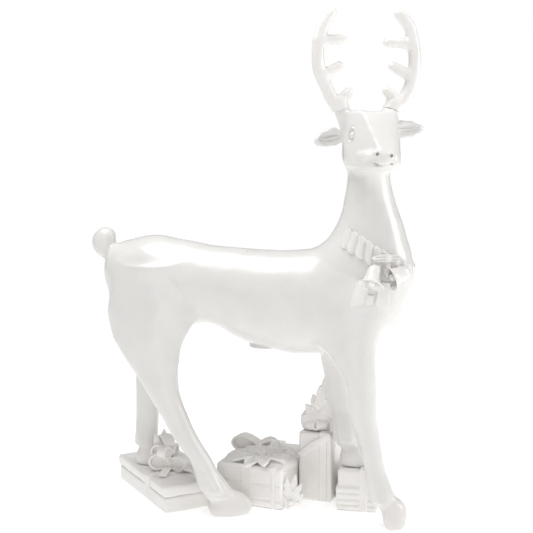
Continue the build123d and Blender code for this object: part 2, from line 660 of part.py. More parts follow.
mid_point = mid_plane.from_local_coords
BASE_LEAD = [
    mid_point((39, 185, 14)), mid_point((52, 183, 17)), mid_point((62, 174, 26)),
    mid_point((69, 162, 38)), mid_point((76, 151, 49)),
]
BELLY_LEAD = [
    mid_point((39, 178, 9)), (18, 165, 16), (50, 148, 24), (78, 131, 30), (110, 122, 33), (145, 116, 38),
    (172, 103, 46), (186, 80, 64), (190, 58, 94), (190, 50, 135), (185, 49, 180), (176, 48, 225),
    (168, 49, 270), (161, 47, 315), (156, 46, 360), (154, 46, 405), (146, 43, 446), (122, 36, 474),
    (90, 27, 487), (56, 18, 491), (32, 9, 491), (15, 2, 489),
]
base_lead = lead(BASE_LEAD)
belly_lead = lead(BELLY_LEAD)
lead_way = lead(BELLY_LEAD[1:13], LEAD_RADIUS + LEAD_ROOM)


# ---- Closing plates with countersunk screws into corner blocks ----
def screw_places(gift):
    length, depth = gift[2], gift[3]
    return [(x, y) for x in (SCREW_INSET, length - SCREW_INSET) for y in (SCREW_INSET, depth - SCREW_INSET)]


def corner_blocks(gift):
    """Posts inside a box's corners for its plate's screws."""
    post = Box(BLOCK, BLOCK, BLOCK_HEIGHT, align=(Align.CENTER, Align.CENTER, Align.MIN))
    return [gift_plane(gift) * Pos(x, y, PLATE_THICK) * post for x, y in screw_places(gift)]


def plate_screws(gift):
    screws = []
    for x, y in screw_places(gift):
        screw = Cylinder(1.8, SCREW_LENGTH, align=(Align.CENTER, Align.CENTER, Align.MIN))
        screw += Cone(3.8, 1.8, 2.4, align=(Align.CENTER, Align.CENTER, Align.MIN))
        screws.append(gift_plane(gift) * Pos(x, y, 0) * screw)
    return screws


boxes = {"gift_low": low_box, "gift_middle": mid_box, "gift_tall": tall_box, "gift_small": small_box}
gifts = {"gift_low": LOW_GIFT, "gift_middle": MID_GIFT, "gift_tall": TALL_GIFT, "gift_small": SMALL_GIFT}
plates = {}
all_screws = []
for name, gift in gifts.items():
    plates[name] = gift_plate(gift)
    for block in corner_blocks(gift):
        boxes[name] += block
    for screw in plate_screws(gift):
        plates[name] -= screw
        boxes[name] -= screw
        base_bar -= screw
        all_screws.append(screw)
for name in boxes:
    boxes[name] -= base_bar
    boxes[name] -= lead_way
base_bracket -= base_bar

# Far legs stand on the gifts: their rods and the lead pass down through hoof, lid and box
for rod_name in ("leg_rod_hind_left", "leg_rod_front_left"):
    low_lid -= leg_rods[rod_name]
    boxes["gift_small"] -= leg_rods[rod_name]

armature_nuts = [
    Pos(x, y, bar_z + bar_thick) * (
        extrude(RegularPolygon(11, 6), 7)
        - Cylinder(ROD_RADIUS, 20, align=(Align.CENTER, Align.CENTER, Align.MIN)))
    for x, y in ((-342, 85), (198, 66))
]

# ---- Every node ----
bow = (bow_loop(1) + bow_loop(-1) + bow_knot()) - neck_grown
bow_tails = [ribbon_tail(lean, length) for lean, length in ((-28, 62), (16, 66))]
NODES = {
    "torso_shell_right": torso_right,
    "torso_shell_left": torso_left,
    "neck_shell": neck,
    "head_shell": head,
    "tail": tail,
    "collar_ruffle": collar,
    "collar_bow": bow,
    "bow_tails": group(bow_tails),
    "gift_low_box": boxes["gift_low"],
    "gift_low_lid": low_lid,
    "gift_low_ribbon": low_ribbon,
    "gift_low_bow": low_bow,
    "gift_middle_box": boxes["gift_middle"],
    "gift_middle_ribbon": mid_ribbon,
    "gift_middle_flower": mid_flower,
    "gift_tall_box": boxes["gift_tall"],
    "gift_tall_ribbon": tall_ribbon,
    "gift_tall_bow": tall_bow,
    "gift_tall_leaves": tall_leaves,
    "gift_small_box": boxes["gift_small"],
    "gift_small_ribbon": small_ribbon,
    "holly_sprig": holly,
    "base_plates": group(plates.values()),
    "base_screws": group(all_screws),
    "base_bar": base_bar,
    "armature_nuts": group(armature_nuts),
    "armature_leg_rods": group(leg_rods.values()),
    "spine_frame": spine,
    "neck_tube": neck_tube,
    "belly_hatch_ring": BELLY_HATCH * hatch_ring(),
    "belly_hatch_cover": BELLY_HATCH * hatch_cover(),
    "belly_hatch_seal": BELLY_HATCH * hatch_seal(),
    "lamp_holders": group([BELLY_LAMP * lamp_holder(), BASE_HATCH * lamp_holder()]),
    "lamp_brackets": group([belly_bracket, base_bracket]),
    "bulb_caps": group([BELLY_LAMP * bulb_base(), BASE_HATCH * bulb_base()]),
    "bulb_globes": group([BELLY_LAMP * bulb_globe(), BASE_HATCH * bulb_globe()]),
    "base_hatch_ring": BASE_HATCH * hatch_ring(),
    "base_hatch_cover": BASE_HATCH * hatch_cover(),
    "cable_gland": GLAND * gland_body(),
    "gland_cap": GLAND * gland_cap(),
    "gland_nut": GLAND * gland_nut(),
    "terminal_block": terminal_block,
    "lead_to_base_lamp": base_lead,
    "lead_to_belly_lamp": belly_lead,
}
for name, outer in leg_outers.items():
    NODES[name] = outer - leg_inners[name] - torso_outer
for name in HOOVES:
    foot = hoof(name)
    for bar in leg_rods.values():
        foot -= bar
    if name == "hoof_front_left":
        foot -= lead_way
    NODES[name] = foot
for name, (root, tip) in EARS.items():
    NODES[name] = ear(root, tip)
NODES["antler_right"] = right_antler()
NODES["antler_left"] = NODES["antler_right"].mirror(Plane(origin=HEAD_CENTRE, z_dir=HEAD_FRAME.x_dir))
for side in ("right", "left"):
    NODES[f"bell_{side}"] = bell(side) - neck_grown - torso_outer
NODES["antler_sockets"] = group([antler_socket(side) for side in ("right", "left")])
NODES["bell_clappers"] = group([clapper(side) - neck_grown - torso_outer for side in ("right", "left")])
print(len(NODES), "nodes")
for name, shape in NODES.items():
    save(shape, name)
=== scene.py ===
"""Looks of the light-up yard reindeer: sculpted shells, ribbons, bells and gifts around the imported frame.

Shapes are worked out as distance fields in millimetres, meshed with openvdb, and stored in metres.
"""
import json
import math

import bpy
import numpy as np
import openvdb
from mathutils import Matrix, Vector


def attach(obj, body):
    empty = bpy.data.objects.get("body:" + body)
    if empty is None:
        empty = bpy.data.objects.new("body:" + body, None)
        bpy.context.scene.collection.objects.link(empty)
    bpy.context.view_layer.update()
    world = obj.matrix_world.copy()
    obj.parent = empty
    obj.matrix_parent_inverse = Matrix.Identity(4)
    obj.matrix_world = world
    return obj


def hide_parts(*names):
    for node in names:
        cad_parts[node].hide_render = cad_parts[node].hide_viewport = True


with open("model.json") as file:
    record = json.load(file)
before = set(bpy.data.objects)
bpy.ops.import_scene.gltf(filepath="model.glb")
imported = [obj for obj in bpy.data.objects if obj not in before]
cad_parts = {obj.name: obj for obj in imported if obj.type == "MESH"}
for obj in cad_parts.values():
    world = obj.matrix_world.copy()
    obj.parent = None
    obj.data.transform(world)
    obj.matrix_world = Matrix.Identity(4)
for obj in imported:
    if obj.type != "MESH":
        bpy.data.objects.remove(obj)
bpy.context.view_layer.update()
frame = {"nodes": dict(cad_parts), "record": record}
MM = 0.001

# ---------------------------------------------------------------- sizes shared with the CAD model
TORSO = [
    (-414, 592, 12, 14), (-408, 591, 32, 36), (-396, 587, 52, 60), (-378, 579, 69, 79),
    (-340, 569, 86, 100), (-290, 565, 96, 114), (-220, 562, 96, 110), (-140, 560, 92, 97),
    (-50, 537, 97, 115), (50, 524, 101, 126), (140, 529, 101, 131), (220, 545, 98, 137),
    (290, 560, 84, 110), (330, 575, 64, 80), (348, 588, 40, 50), (356, 592, 16, 22),
]
NECK = [
    (560, 234, 92, 74), (590, 236, 108, 85), (620, 239, 114, 88), (650, 242, 109, 84),
    (690, 249, 90, 75), (720, 253, 77, 68), (750, 253, 66, 62), (780, 251, 58, 57),
    (810, 250, 52, 52), (845, 249, 48, 50), (900, 247, 46, 48),
]
LEGS = {
    "hind_leg_right": [
        (600, -275, -50, 66, 34), (540, -287, -57, 93, 47), (499, -279, -61, 110, 50),
        (460, -279, -66, 102, 48), (430, -281, -72, 89, 45), (408, -277, -76, 78, 42),
        (378, -269, -79, 67, 39), (340, -256, -82, 52, 35), (300, -240, -84, 41, 31),
        (242, -211, -85, 33, 27), (193, -186, -85, 30, 26), (135, -146, -85, 28, 25),
        (95, -126, -85, 30, 26), (50, -103, -83, 32, 27),
    ],
    "hind_leg_left": [
        (600, -275, 50, 66, 34), (540, -290, 54, 88, 44), (490, -305, 60, 85, 46),
        (440, -322, 68, 58, 44), (400, -331, 76, 42, 38), (340, -334, 82, 34, 31),
        (260, -336, 85, 31, 28), (200, -338, 85, 30, 27), (120, -342, 85, 30, 27),
    ],
    "front_leg_right": [
        (580, 235, -46, 64, 32), (540, 230, -54, 75, 40), (500, 222, -62, 74, 43),
        (463, 217, -67, 70, 42), (434, 215, -71, 65, 40), (404, 224, -74, 54, 38),
        (355, 242, -80, 39, 34), (315, 247, -83, 35, 31), (275, 249, -85, 33, 29),
        (218, 264, -85, 27, 26), (162, 276, -85, 25, 24), (108, 289, -85, 25, 24),
        (60, 303, -85, 25, 25),
    ],
    "front_leg_left": [
        (580, 225, 46, 58, 30), (520, 205, 52, 64, 40), (470, 185, 56, 58, 40),
        (430, 170, 60, 48, 38), (390, 162, 62, 39, 34), (330, 168, 62, 33, 29),
        (260, 178, 61, 29, 27), (200, 189, 60, 28, 26), (155, 197, 60, 28, 26),
    ],
}
HEAD_CENTRE = (245, -8, 915)
HEAD_TURN = math.radians(24)
ANTLER_BACK = 12
ANTLERS = {
    "right": {
        "beam": [(-60, 68), (-66, 76), (-82, 95), (-99, 127), (-114, 160), (-118, 192), (-117, 225),
                 (-108, 258), (-93, 286), (-86, 296)],
        "tines": [[(-66, 84), (-57, 98), (-44, 112)], [(-106, 150), (-88, 160), (-68, 173)],
                  [(-117, 230), (-90, 232), (-59, 234)]],
    },
    "left": {
        "beam": [(60, 68), (68, 76), (92, 96), (109, 129), (118, 162), (119, 196), (114, 229),
                 (106, 262), (89, 286), (79, 296)],
        "tines": [[(74, 86), (66, 102), (51, 115)], [(111, 150), (90, 160), (65, 173)],
                  [(115, 224), (90, 227), (52, 229)]],
    },
}
PEG_RADIUS = 7
PEG_LENGTH = 34
PEG_LEAN = math.radians(18)
FLANGE_THICK = 4
SOCKET_FOOT = (59, 68)
SEAM = 0.4
SKIN = 3.5
EAR_SKIN = 1.2
UP = (0.0, 0.0, 1.0)


# ---------------------------------------------------------------- distance fields
class Grid:
    """Box of sample points, as three arrays that broadcast against each other."""

    def __init__(self, low, high, step):
        self.low = np.array(low, dtype=np.float32)
        self.step = step
        axes = [np.arange(a, b + step, step, dtype=np.float32) for a, b in zip(low, high)]
        self.x = axes[0][:, None, None]
        self.y = axes[1][None, :, None]
        self.z = axes[2][None, None, :]
        self.shape = tuple(len(axis) for axis in axes)


def curve(stations, at):
    """Smooth values through a table whose first column is the place along it."""
    table = np.array(sorted(map(tuple, stations)), dtype=np.float32)
    places = table[:, 0]
    index = np.clip(np.searchsorted(places, at) - 1, 0, len(places) - 2)
    span = places[index + 1] - places[index]
    u = np.clip((at - places[index]) / span, 0, 1)
    result = []
    for column in table.T[1:]:
        slope = np.gradient(column, places)
        result.append(
            (2 * u**3 - 3 * u**2 + 1) * column[index]
            + (u**3 - 2 * u**2 + u) * span * slope[index]
            + (3 * u**2 - 2 * u**3) * column[index + 1]
            + (u**3 - u**2) * span * slope[index + 1])
    return result


def unit(v):
    v = np.array(v, dtype=float)
    return v / np.linalg.norm(v)


def above(height):
    return np.array((0.0, 0.0, height))


def oval(a, b, ra, rb):
    """Distance to an ellipse, good close to its edge."""
    k0 = np.sqrt((a / ra) ** 2 + (b / rb) ** 2)
    k1 = np.sqrt((a / ra**2) ** 2 + (b / rb**2) ** 2) + 1e-5
    return k0 * (k0 - 1) / k1


def blend_min(a, b, k):
    h = np.clip(0.5 + 0.5 * (b - a) / k, 0, 1)
    return b + (a - b) * h - k * h * (1 - h)


def blend_max(a, b, k):
    return -blend_min(-a, -b, k)


def gather(parts, k=0):
    """One field from several, blended over k where k is given."""
    parts = iter(parts)
    d = next(parts)
    for part in parts:
        d = blend_min(d, part, k) if k else np.minimum(d, part)
    return d


def limb(g, stations):
    cx, cy, rx, ry = curve(stations, g.z)
    d = oval(g.x - cx, g.y - cy, rx, ry)
    ends = [row[0] for row in stations]
    return np.maximum(d, np.maximum(g.z - max(ends), min(ends) - g.z))


def torso(g):
    cz, ry, rz = curve(TORSO, g.x)
    d = oval(g.y, g.z - cz, ry, rz)
    return np.maximum(d, np.maximum(g.x - TORSO[-1][0], TORSO[0][0] - g.x))


def neck(g):
    cx, rx, ry = curve(NECK, g.z)
    return np.maximum(oval(g.x - cx, g.y, rx, ry), np.maximum(NECK[0][0] - g.z, g.z - NECK[-1][0]))


def ball(g, centre, radii, axes=None):
    """Ellipsoid, in its own axes when they are given."""
    p = local(g, centre, axes)
    k0 = np.sqrt(sum((c / r) ** 2 for c, r in zip(p, radii)))
    k1 = np.sqrt(sum((c / r**2) ** 2 for c, r in zip(p, radii))) + 1e-5
    return k0 * (k0 - 1) / k1


def local(g, centre, axes=None):
    dx, dy, dz = g.x - centre[0], g.y - centre[1], g.z - centre[2]
    if axes is None:
        return dx, dy, dz
    return tuple(dx * a[0] + dy * a[1] + dz * a[2] for a in axes)


def capsule(g, start, end, ra, rb):
    """Round bar between two points, tapering from ra to rb."""
    dx, dy, dz = g.x - start[0], g.y - start[1], g.z - start[2]
    run = np.array(end, dtype=float) - np.array(start, dtype=float)
    length2 = float(run @ run)
    t = np.clip((dx * run[0] + dy * run[1] + dz * run[2]) / length2, 0, 1)
    d = np.sqrt((dx - t * run[0]) ** 2 + (dy - t * run[1]) ** 2 + (dz - t * run[2]) ** 2)
    return d - (ra + (rb - ra) * t)


def strand(g, points, ra, rb, k=4.0):
    """Capsules one after another through the points."""
    total = len(points) - 1
    radii = [ra + (rb - ra) * i / total for i in range(total + 1)]
    return gather((capsule(g, points[i], points[i + 1], radii[i], radii[i + 1]) for i in range(total)), k)


def block(g, centre, half, radius, axes=None):
    """Box with rounded edges."""
    q = [np.abs(c) - (h - radius) for c, h in zip(local(g, centre, axes), half)]
    outside = np.sqrt(sum(np.maximum(c, 0) ** 2 for c in q))
    return outside + np.minimum(np.maximum(np.maximum(q[0], q[1]), q[2]), 0) - radius


def unevenness(g, size, amount, seed):
    """Soft random swell, as hand smoothing leaves."""
    rng = np.random.default_rng(seed)
    counts = [max(2, int(n * g.step / size) + 3) for n in g.shape]
    noise = rng.uniform(-1, 1, counts)
    for axis, count in enumerate(g.shape):
        place = np.arange(count) * g.step / size
        index = np.clip(place.astype(int), 0, counts[axis] - 2)
        u = place - index
        u = (u * u * (3 - 2 * u)).astype(np.float32)
        shape = [1, 1, 1]
        shape[axis] = count
        u = u.reshape(shape)
        noise = np.take(noise, index, axis=axis) * (1 - u) + np.take(noise, index + 1, axis=axis) * u
    return (amount * noise).astype(np.float32)


# ---------------------------------------------------------------- meshes
def surface(g, field):
    """Points (mm), quads and normals of a field's zero surface."""
    grid = openvdb.FloatGrid(float(4 * g.step))
    band = 4 * g.step
    grid.copyFromArray(np.ascontiguousarray(np.clip(field, -band, band), dtype=np.float32))
    points, quads = grid.convertToQuads(isovalue=0.0)
    points = points * g.step + g.low
    a, b, c, d = (points[quads[:, i]] for i in range(4))
    flat = np.cross(c - a, d - b)
    corners = quads.T.ravel()
    normals = np.stack([np.bincount(corners, np.tile(flat[:, i], 4), len(points)) for i in range(3)], axis=1)
    normals /= np.linalg.norm(normals, axis=1, keepdims=True) + 1e-9
    volume = np.einsum("ij,ij->i", a, flat).sum()
    if volume < 0:
        quads = quads[:, ::-1]
        normals = -normals
    return points, quads, normals


def mesh_object(name, points, faces, slot, normals=None):
    mesh = bpy.data.meshes.new(name)
    mesh.vertices.add(len(points))
    mesh.vertices.foreach_set("co", (points * MM).astype(np.float32).ravel())
    mesh.loops.add(faces.size)
    mesh.loops.foreach_set("vertex_index", faces.astype(np.int32).ravel())
    mesh.polygons.add(len(faces))
    mesh.polygons.foreach_set("loop_start", np.arange(0, faces.size, faces.shape[1], dtype=np.int32))
    mesh.update(calc_edges=True)
    mesh.polygons.foreach_set("use_smooth", np.ones(len(faces), dtype=bool))
    if normals is not None:
        mesh.normals_split_custom_set_from_vertices(normals.tolist())
    mesh.validate()
    obj = bpy.data.objects.new(name, mesh)
    bpy.context.scene.collection.objects.link(obj)
    obj.data.materials.append(LOOKS[slot])
    return obj


def skin_piece(name, points, quads, normals, keep, slot, thickness=SKIN):
    """The kept quads as a closed shell of a wall's thickness, shaded like the whole surface."""
    faces = quads[keep]
    used = np.unique(faces)
    renumber = np.full(len(points), -1)
    renumber[used] = np.arange(len(used))
    faces = renumber[faces]
    outer = points[used]
    normal = normals[used]
    inner = outer - normal * thickness
    count = len(used)
    edges = np.concatenate([faces[:, [i, (i + 1) % 4]] for i in range(4)])
    key = edges.min(axis=1).astype(np.int64) * count + edges.max(axis=1)
    _, first, times = np.unique(key, return_index=True, return_counts=True)
    rim = edges[first[times == 1]]
    wall = np.stack([rim[:, 1], rim[:, 0], rim[:, 0] + count, rim[:, 1] + count], axis=1)
    all_faces = np.concatenate([faces, faces[:, ::-1] + count, wall])
    all_points = np.concatenate([outer, inner])
    all_normals = np.concatenate([normal, -normal])
    return mesh_object(name, all_points, all_faces, slot, all_normals)


def dress(piece, node, body="statue"):
    """Tie a piece to its body and hide the CAD node that it stands in for."""
    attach(piece, body)
    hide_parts(node)


def cast(name, g, field, node, slot, body="statue"):
    """A field as one closed piece in place of a CAD node."""
    points, quads, _ = surface(g, field)
    dress(mesh_object(name, points, quads, slot), node, body)


# ---------------------------------------------------------------- materials
def put(node, values):
    """Set a node's inputs by name."""
    for name, value in values.items():
        node.inputs[name].default_value = value


class Finish:
    """A new node material, and the few kinds of node that every look here is made of."""

    def __init__(self, name):
        self.mat = bpy.data.materials.new(name)
        self.mat.use_nodes = True
        self.shader = self.mat.node_tree.nodes["Principled BSDF"]
        self.coords = self.node("TexCoord", {})

    def node(self, kind, values):
        node = self.mat.node_tree.nodes.new("ShaderNode" + kind)
        put(node, values)
        return node

    def link(self, output, node, name):
        self.mat.node_tree.links.new(output, node.inputs[name])

    def noise(self, scale, detail):
        node = self.node("TexNoise", {"Scale": scale, "Detail": detail})
        self.link(self.coords.outputs["Object"], node, "Vector")
        return node.outputs["Fac"]

    def colour(self, drift, dark, light, places=(0.0, 1.0)):
        """Base colour that drifts between two tones."""
        ramp = self.node("ValToRGB", {})
        for index, tone in enumerate((dark, light)):
            ramp.color_ramp.elements[index].position = places[index]
            ramp.color_ramp.elements[index].color = (*tone, 1)
        self.link(drift, ramp, "Fac")
        self.link(ramp.outputs["Color"], self.shader, "Base Color")

    def gloss(self, drift, low, high):
        """Roughness that drifts between two values."""
        spread = self.node("MapRange", {"To Min": low, "To Max": high})
        self.link(drift, spread, "Value")
        self.link(spread.outputs["Result"], self.shader, "Roughness")

    def bump(self, height, strength, distance, below=None):
        node = self.node("Bump", {"Strength": strength, "Distance": distance})
        self.link(height, node, "Height")
        if below is not None:
            self.link(below, node, "Normal")
        return node.outputs["Normal"]


def resin(name, colour, shade, roughness=0.3, coat=0.35, grain=1.0, glow=0.0):
    """Moulded white resin: faint cloudiness, brushed gloss and a gently uneven surface."""
    look = Finish(name)
    put(look.shader, {"Coat Weight": coat, "Coat Roughness": 0.12, "IOR": 1.48})
    if glow:
        put(look.shader, {"Subsurface Weight": glow, "Subsurface Radius": (0.010, 0.009, 0.008),
                          "Subsurface Scale": 0.5})
    look.colour(look.noise(14, 4), shade, colour, (0.35, 0.65))
    look.gloss(look.noise(35, 5), roughness - 0.07, roughness + 0.1)
    swell = look.bump(look.noise(22, 2), 0.35 * grain, 0.004)
    fine = look.bump(look.noise(260, 6), 0.12 * grain, 0.0006, swell)
    look.link(fine, look.shader, "Normal")
    return look.mat


def hardware(name, colour, roughness, metallic=0.0, alpha=1.0, scratch=90):
    """Metal, rubber and plain plastic fittings with fine wear in gloss and bump."""
    look = Finish(name)
    put(look.shader, {"Metallic": metallic})
    if alpha < 1:
        put(look.shader, {"Transmission Weight": 1 - alpha})
    wear = look.noise(scratch, 6)
    look.colour(wear, [c * 0.86 for c in colour], colour)
    look.gloss(wear, max(0.05, roughness - 0.1), roughness + 0.12)
    look.link(look.bump(wear, 0.15, 0.0004), look.shader, "Normal")
    return look.mat


# White resins by material slot
LOOKS = {
    "shell_white": resin("shell_resin", (0.81, 0.795, 0.772), (0.775, 0.758, 0.735), glow=0.15),
    "antler_white": resin("antler_resin", (0.87, 0.85, 0.825), (0.82, 0.80, 0.775), roughness=0.36),
    "hoof_white": resin("hoof_resin", (0.83, 0.805, 0.78), (0.78, 0.755, 0.73), roughness=0.38),
    "trim_white": resin("ribbon_resin", (0.87, 0.852, 0.83), (0.82, 0.80, 0.778), roughness=0.34),
    # gift resin: the shell's white resin painted lighter, standing in for the bounce light that reaches the
    # gifts under the body
    "gift_white": resin("gift_resin_painted_lighter", (0.95, 0.93, 0.905), (0.92, 0.895, 0.87), roughness=0.4, grain=1.5),
}


# ---------------------------------------------------------------- head frame
HEAD_X = (math.cos(HEAD_TURN), math.sin(HEAD_TURN), 0.0)
HEAD_Y = (-math.sin(HEAD_TURN), math.cos(HEAD_TURN), 0.0)


def head_point(x, forward, z):
    """Head-frame point (left, forward, up) in the object's frame, millimetres."""
    return tuple(HEAD_CENTRE[i] + x * HEAD_X[i] - forward * HEAD_Y[i] + z * UP[i] for i in range(3))


def head_axes(x, forward, z):
    """Unit direction given as (left, forward, up) of the head."""
    v = np.array([x * HEAD_X[i] - forward * HEAD_Y[i] + z * UP[i] for i in range(3)])
    return v / np.linalg.norm(v)


def plane(p, normal, reach):
    n = np.array(normal) / np.linalg.norm(normal)
    return p[0] * n[0] + p[1] * n[1] + p[2] * n[2] - reach


# ---------------------------------------------------------------- head
HEAD_WIDTH = [(-64, 18), (-50, 40), (-30, 52), (0, 60), (40, 63), (62, 59), (100, 48), (125, 36), (140, 22)]


def skull(g):
    """Blocky head: flat brow-to-nose plane, a facet on each side of it, rounded jaw and muzzle."""
    x, back, z = local(g, HEAD_CENTRE, (HEAD_X, HEAD_Y, UP))
    f = -back
    half, = curve(HEAD_WIDTH, f)
    p = (x, f, z)
    d = plane(p, (0, 0.78, 0.62), 86)
    d = blend_max(d, plane(p, (0.40, 0.735, 0.547), 88.5), 5)
    d = blend_max(d, plane(p, (-0.82, 0.528, 0.228), 69.5), 6)
    d = blend_max(d, plane(p, (0, 0.97, -0.24), 136), 13)
    dip = 6 * np.exp(-(x / 26) ** 2)
    d = blend_max(d, plane(p, (0, -0.12, 1), 67) + dip, 12)
    d = blend_max(d, np.abs(x) - half, 16)
    d = blend_max(d, plane((np.abs(x), f, z), (0.62, -0.15, -0.77), 81), 18)
    d = blend_max(d, plane(p, (0, 0.10, -1), 73), 18)
    d = blend_max(d, plane(p, (0, -1, 0.15), 58), 34)
    muzzle = ball(g, head_point(-1, 96, -46), (43, 33, 22), (HEAD_X, HEAD_Y, UP))
    nose = ball(g, head_point(-4, 120, -40), (22, 16, 19), (HEAD_X, HEAD_Y, UP))
    d = blend_min(d, muzzle, 14)
    return blend_min(d, nose, 9)


def eye_detail(g, d, side):
    """Almond eye inside concentric lids, in a shallow oval socket."""
    out = head_axes(side * 0.84, 0.52, 0.15)
    across = unit(head_axes(-side * 0.52, 0.84, 0.0))
    tall = np.cross(out, across)
    axes = (across, out, tall)
    centre = np.array(head_point(side * 51, 42, 12))
    a, b, c = local(g, centre, axes)
    away = np.sqrt((a / 15.5) ** 2 + ((c - 1) / 23) ** 2)
    inside = np.clip(1 - away, 0, 1)
    near = (b > -22) & (away < 1.4)
    relief = (5.5 * inside**0.6 - 3.0 * np.exp(-((away - 0.72) / 0.09) ** 2)
              + 2.4 * np.exp(-((away - 0.5) / 0.1) ** 2))
    d = d + np.where(near, relief, 0)
    eyeball = ball(g, centre - out * 4.0, (7.2, 7.6, 9.6), axes)
    return blend_min(d, eyeball, 1.0)


def nose_detail(g, d):
    """Nostrils, the grooved pad between them, and the mouth line."""
    for x, z in ((-17, -29), (16, -33)):
        hole = capsule(g, head_point(x, 146, z + 2), head_point(x, 124, z - 2), 3.8, 3.2)
        rim = ball(g, head_point(x, 129, z), (9, 7, 8), (HEAD_X, HEAD_Y, UP))
        d = blend_min(d, rim, 5)
        d = blend_max(d, -hole, 1.2)
    for place, depth in ((-12, 1.8), (-6, 2.4), (1, 2.4), (7, 1.8)):
        groove = strand(g, [head_point(place, 144, -30), head_point(place * 1.1 - 1, 139, -46),
                            head_point(place * 0.6 - 3, 130, -62)], depth, depth * 0.8)
        d = blend_max(d, -groove, 2)
    line = [head_point(-6, 134, -56), head_point(-17, 129, -52),
            head_point(-28, 117, -44), head_point(-38, 100, -39)]
    mirror = [head_point(0, 134, -57), head_point(14, 130, -54),
              head_point(28, 118, -47), head_point(39, 98, -42)]
    for points in (line, mirror):
        d = blend_max(d, -strand(g, points, 1.6, 2.0), 4)
        d = blend_max(d, -ball(g, points[-1], (5.0, 5.0, 3.8)), 2)
    for side in (-1, 1):
        lip = strand(g, [head_point(side * 8, 126, -62), head_point(side * 22, 118, -58),
                         head_point(side * 38, 98, -50)], 6.5, 4.5)
        d = blend_min(d, lip, 5)
        cheek = strand(g, [head_point(side * 18, 116, -36), head_point(side * 31, 102, -33),
                           head_point(side * 45, 80, -33)], 5.5, 4.5)
        d = blend_min(d, cheek, 12)
    return d


EARS = {
    -1: [(-48, -4, 9), (-70, -7, 10), (-90, -9, 7), (-108, -9, 1), (-121, -8, -5)],
    1: [(50, -4, 24), (76, -8, 25), (100, -10, 26), (121, -10, 27), (138, -9, 27)],
}


def ear(g, side):
    """Cupped leaf: thick rolled rim round a hollow that faces forward."""
    points = EARS[side]
    parts = []
    for (a, b), half in zip(zip(points, points[1:]), (14, 21.5, 19.5, 11)):
        start, end = head_point(*a), head_point(*b)
        centre = [(s + e) / 2 for s, e in zip(start, end)]
        run = np.array(end) - np.array(start)
        length = np.linalg.norm(run)
        run = run / length
        face = head_axes(0, 1, 0)
        tall = np.cross(run, face)
        parts.append(ball(g, centre, (length * 0.82, 6.5, half), (run, face, tall)))
    d = gather(parts, 9)
    mid = head_point(*[(p + q) / 2 for p, q in zip(points[1], points[3])])
    run = np.array(head_point(*points[-1])) - np.array(head_point(*points[0]))
    length = np.linalg.norm(run)
    run = run / length
    tall = np.cross(run, head_axes(0, 1, 0))
    face = np.cross(tall, run)
    cup = ball(g, np.array(mid) + head_axes(0, 1, 0) * 7.5, (length * 0.37, 9.5, 14), (run, face, tall))
    d = blend_max(d, -cup, 4)
    vein = capsule(g, np.array(mid) - run * length * 0.25, np.array(mid) + run * length * 0.25, 2.2, 1.2)
    return blend_min(d, vein, 3)


def peg_axis(side):
    return head_axes(side * math.sin(PEG_LEAN), 0, math.cos(PEG_LEAN))


def peg_foot(side):
    return np.array(head_point(side * SOCKET_FOOT[0], -ANTLER_BACK, SOCKET_FOOT[1]))


def along_peg(g, side):
    """Height along the peg over the seam between antler and head."""
    axis = peg_axis(side)
    foot = peg_foot(side) + axis * FLANGE_THICK
    return (g.x - foot[0]) * axis[0] + (g.y - foot[1]) * axis[1] + (g.z - foot[2]) * axis[2]


def pedicle(g, side):
    """Mound of the crown that carries an antler, flat on top."""
    axis = peg_axis(side)
    foot = peg_foot(side)
    mound = capsule(g, foot - axis * 26, foot + axis * 12, 15, 18.4)
    return np.maximum(mound, along_peg(g, side))


def head_field(g):
    d = skull(g)
    d = blend_min(d, neck(g), 16)
    for side in (-1, 1):
        d = eye_detail(g, d, side)
        d = blend_min(d, ear(g, side), 7)
    d = nose_detail(g, d)
    for side in (-1, 1):
        d = blend_min(d, pedicle(g, side), 15)
        # flat seat for the antler, over a circle a little wider than its root
        axis = peg_axis(side)
        foot = peg_foot(side)
        core = capsule(g, foot, foot + axis * 60, 18.0, 18.0)
        d = np.maximum(d, -np.maximum(core, -along_peg(g, side)))
    return d


def antler_field(g, side):
    name = "right" if side < 0 else "left"
    data = ANTLERS[name]
    beam = [head_point(x, -ANTLER_BACK, z) for x, z in data["beam"]]
    d = strand(g, smooth_line(beam, 3), 15.4, 12.2, 3)
    for tine in data["tines"]:
        points = [head_point(x, -ANTLER_BACK, z) for x, z in tine]
        d = blend_min(d, strand(g, smooth_line(points, 3), 12.0, 10.8, 3), 9)
    root = peg_foot(side)
    axis = peg_axis(side)
    d = blend_min(d, capsule(g, root, root + axis * 16, 17.9, 15), 12)
    x, back, z = local(g, HEAD_CENTRE, (HEAD_X, HEAD_Y, UP))
    swirl = np.sin(back * 0.9 + np.sin(z * 0.035) * 2.2 + side * x * 0.02)
    d = d + 0.45 * swirl
    d = np.maximum(d, SEAM - along_peg(g, side))
    foot = root + axis * FLANGE_THICK
    reach = PEG_LENGTH - PEG_RADIUS - 0.5
    return np.minimum(d, capsule(g, foot + axis * 3, foot - axis * reach, PEG_RADIUS, PEG_RADIUS))


def smooth_line(points, pieces):
    """More points along a smooth curve through the given ones."""
    pts = np.array(points, dtype=float)
    places = np.arange(len(pts), dtype=float)
    table = np.column_stack([places, pts])
    at = np.linspace(0, len(pts) - 1, (len(pts) - 1) * pieces + 1)
    return list(np.stack(curve(table, at), axis=1))


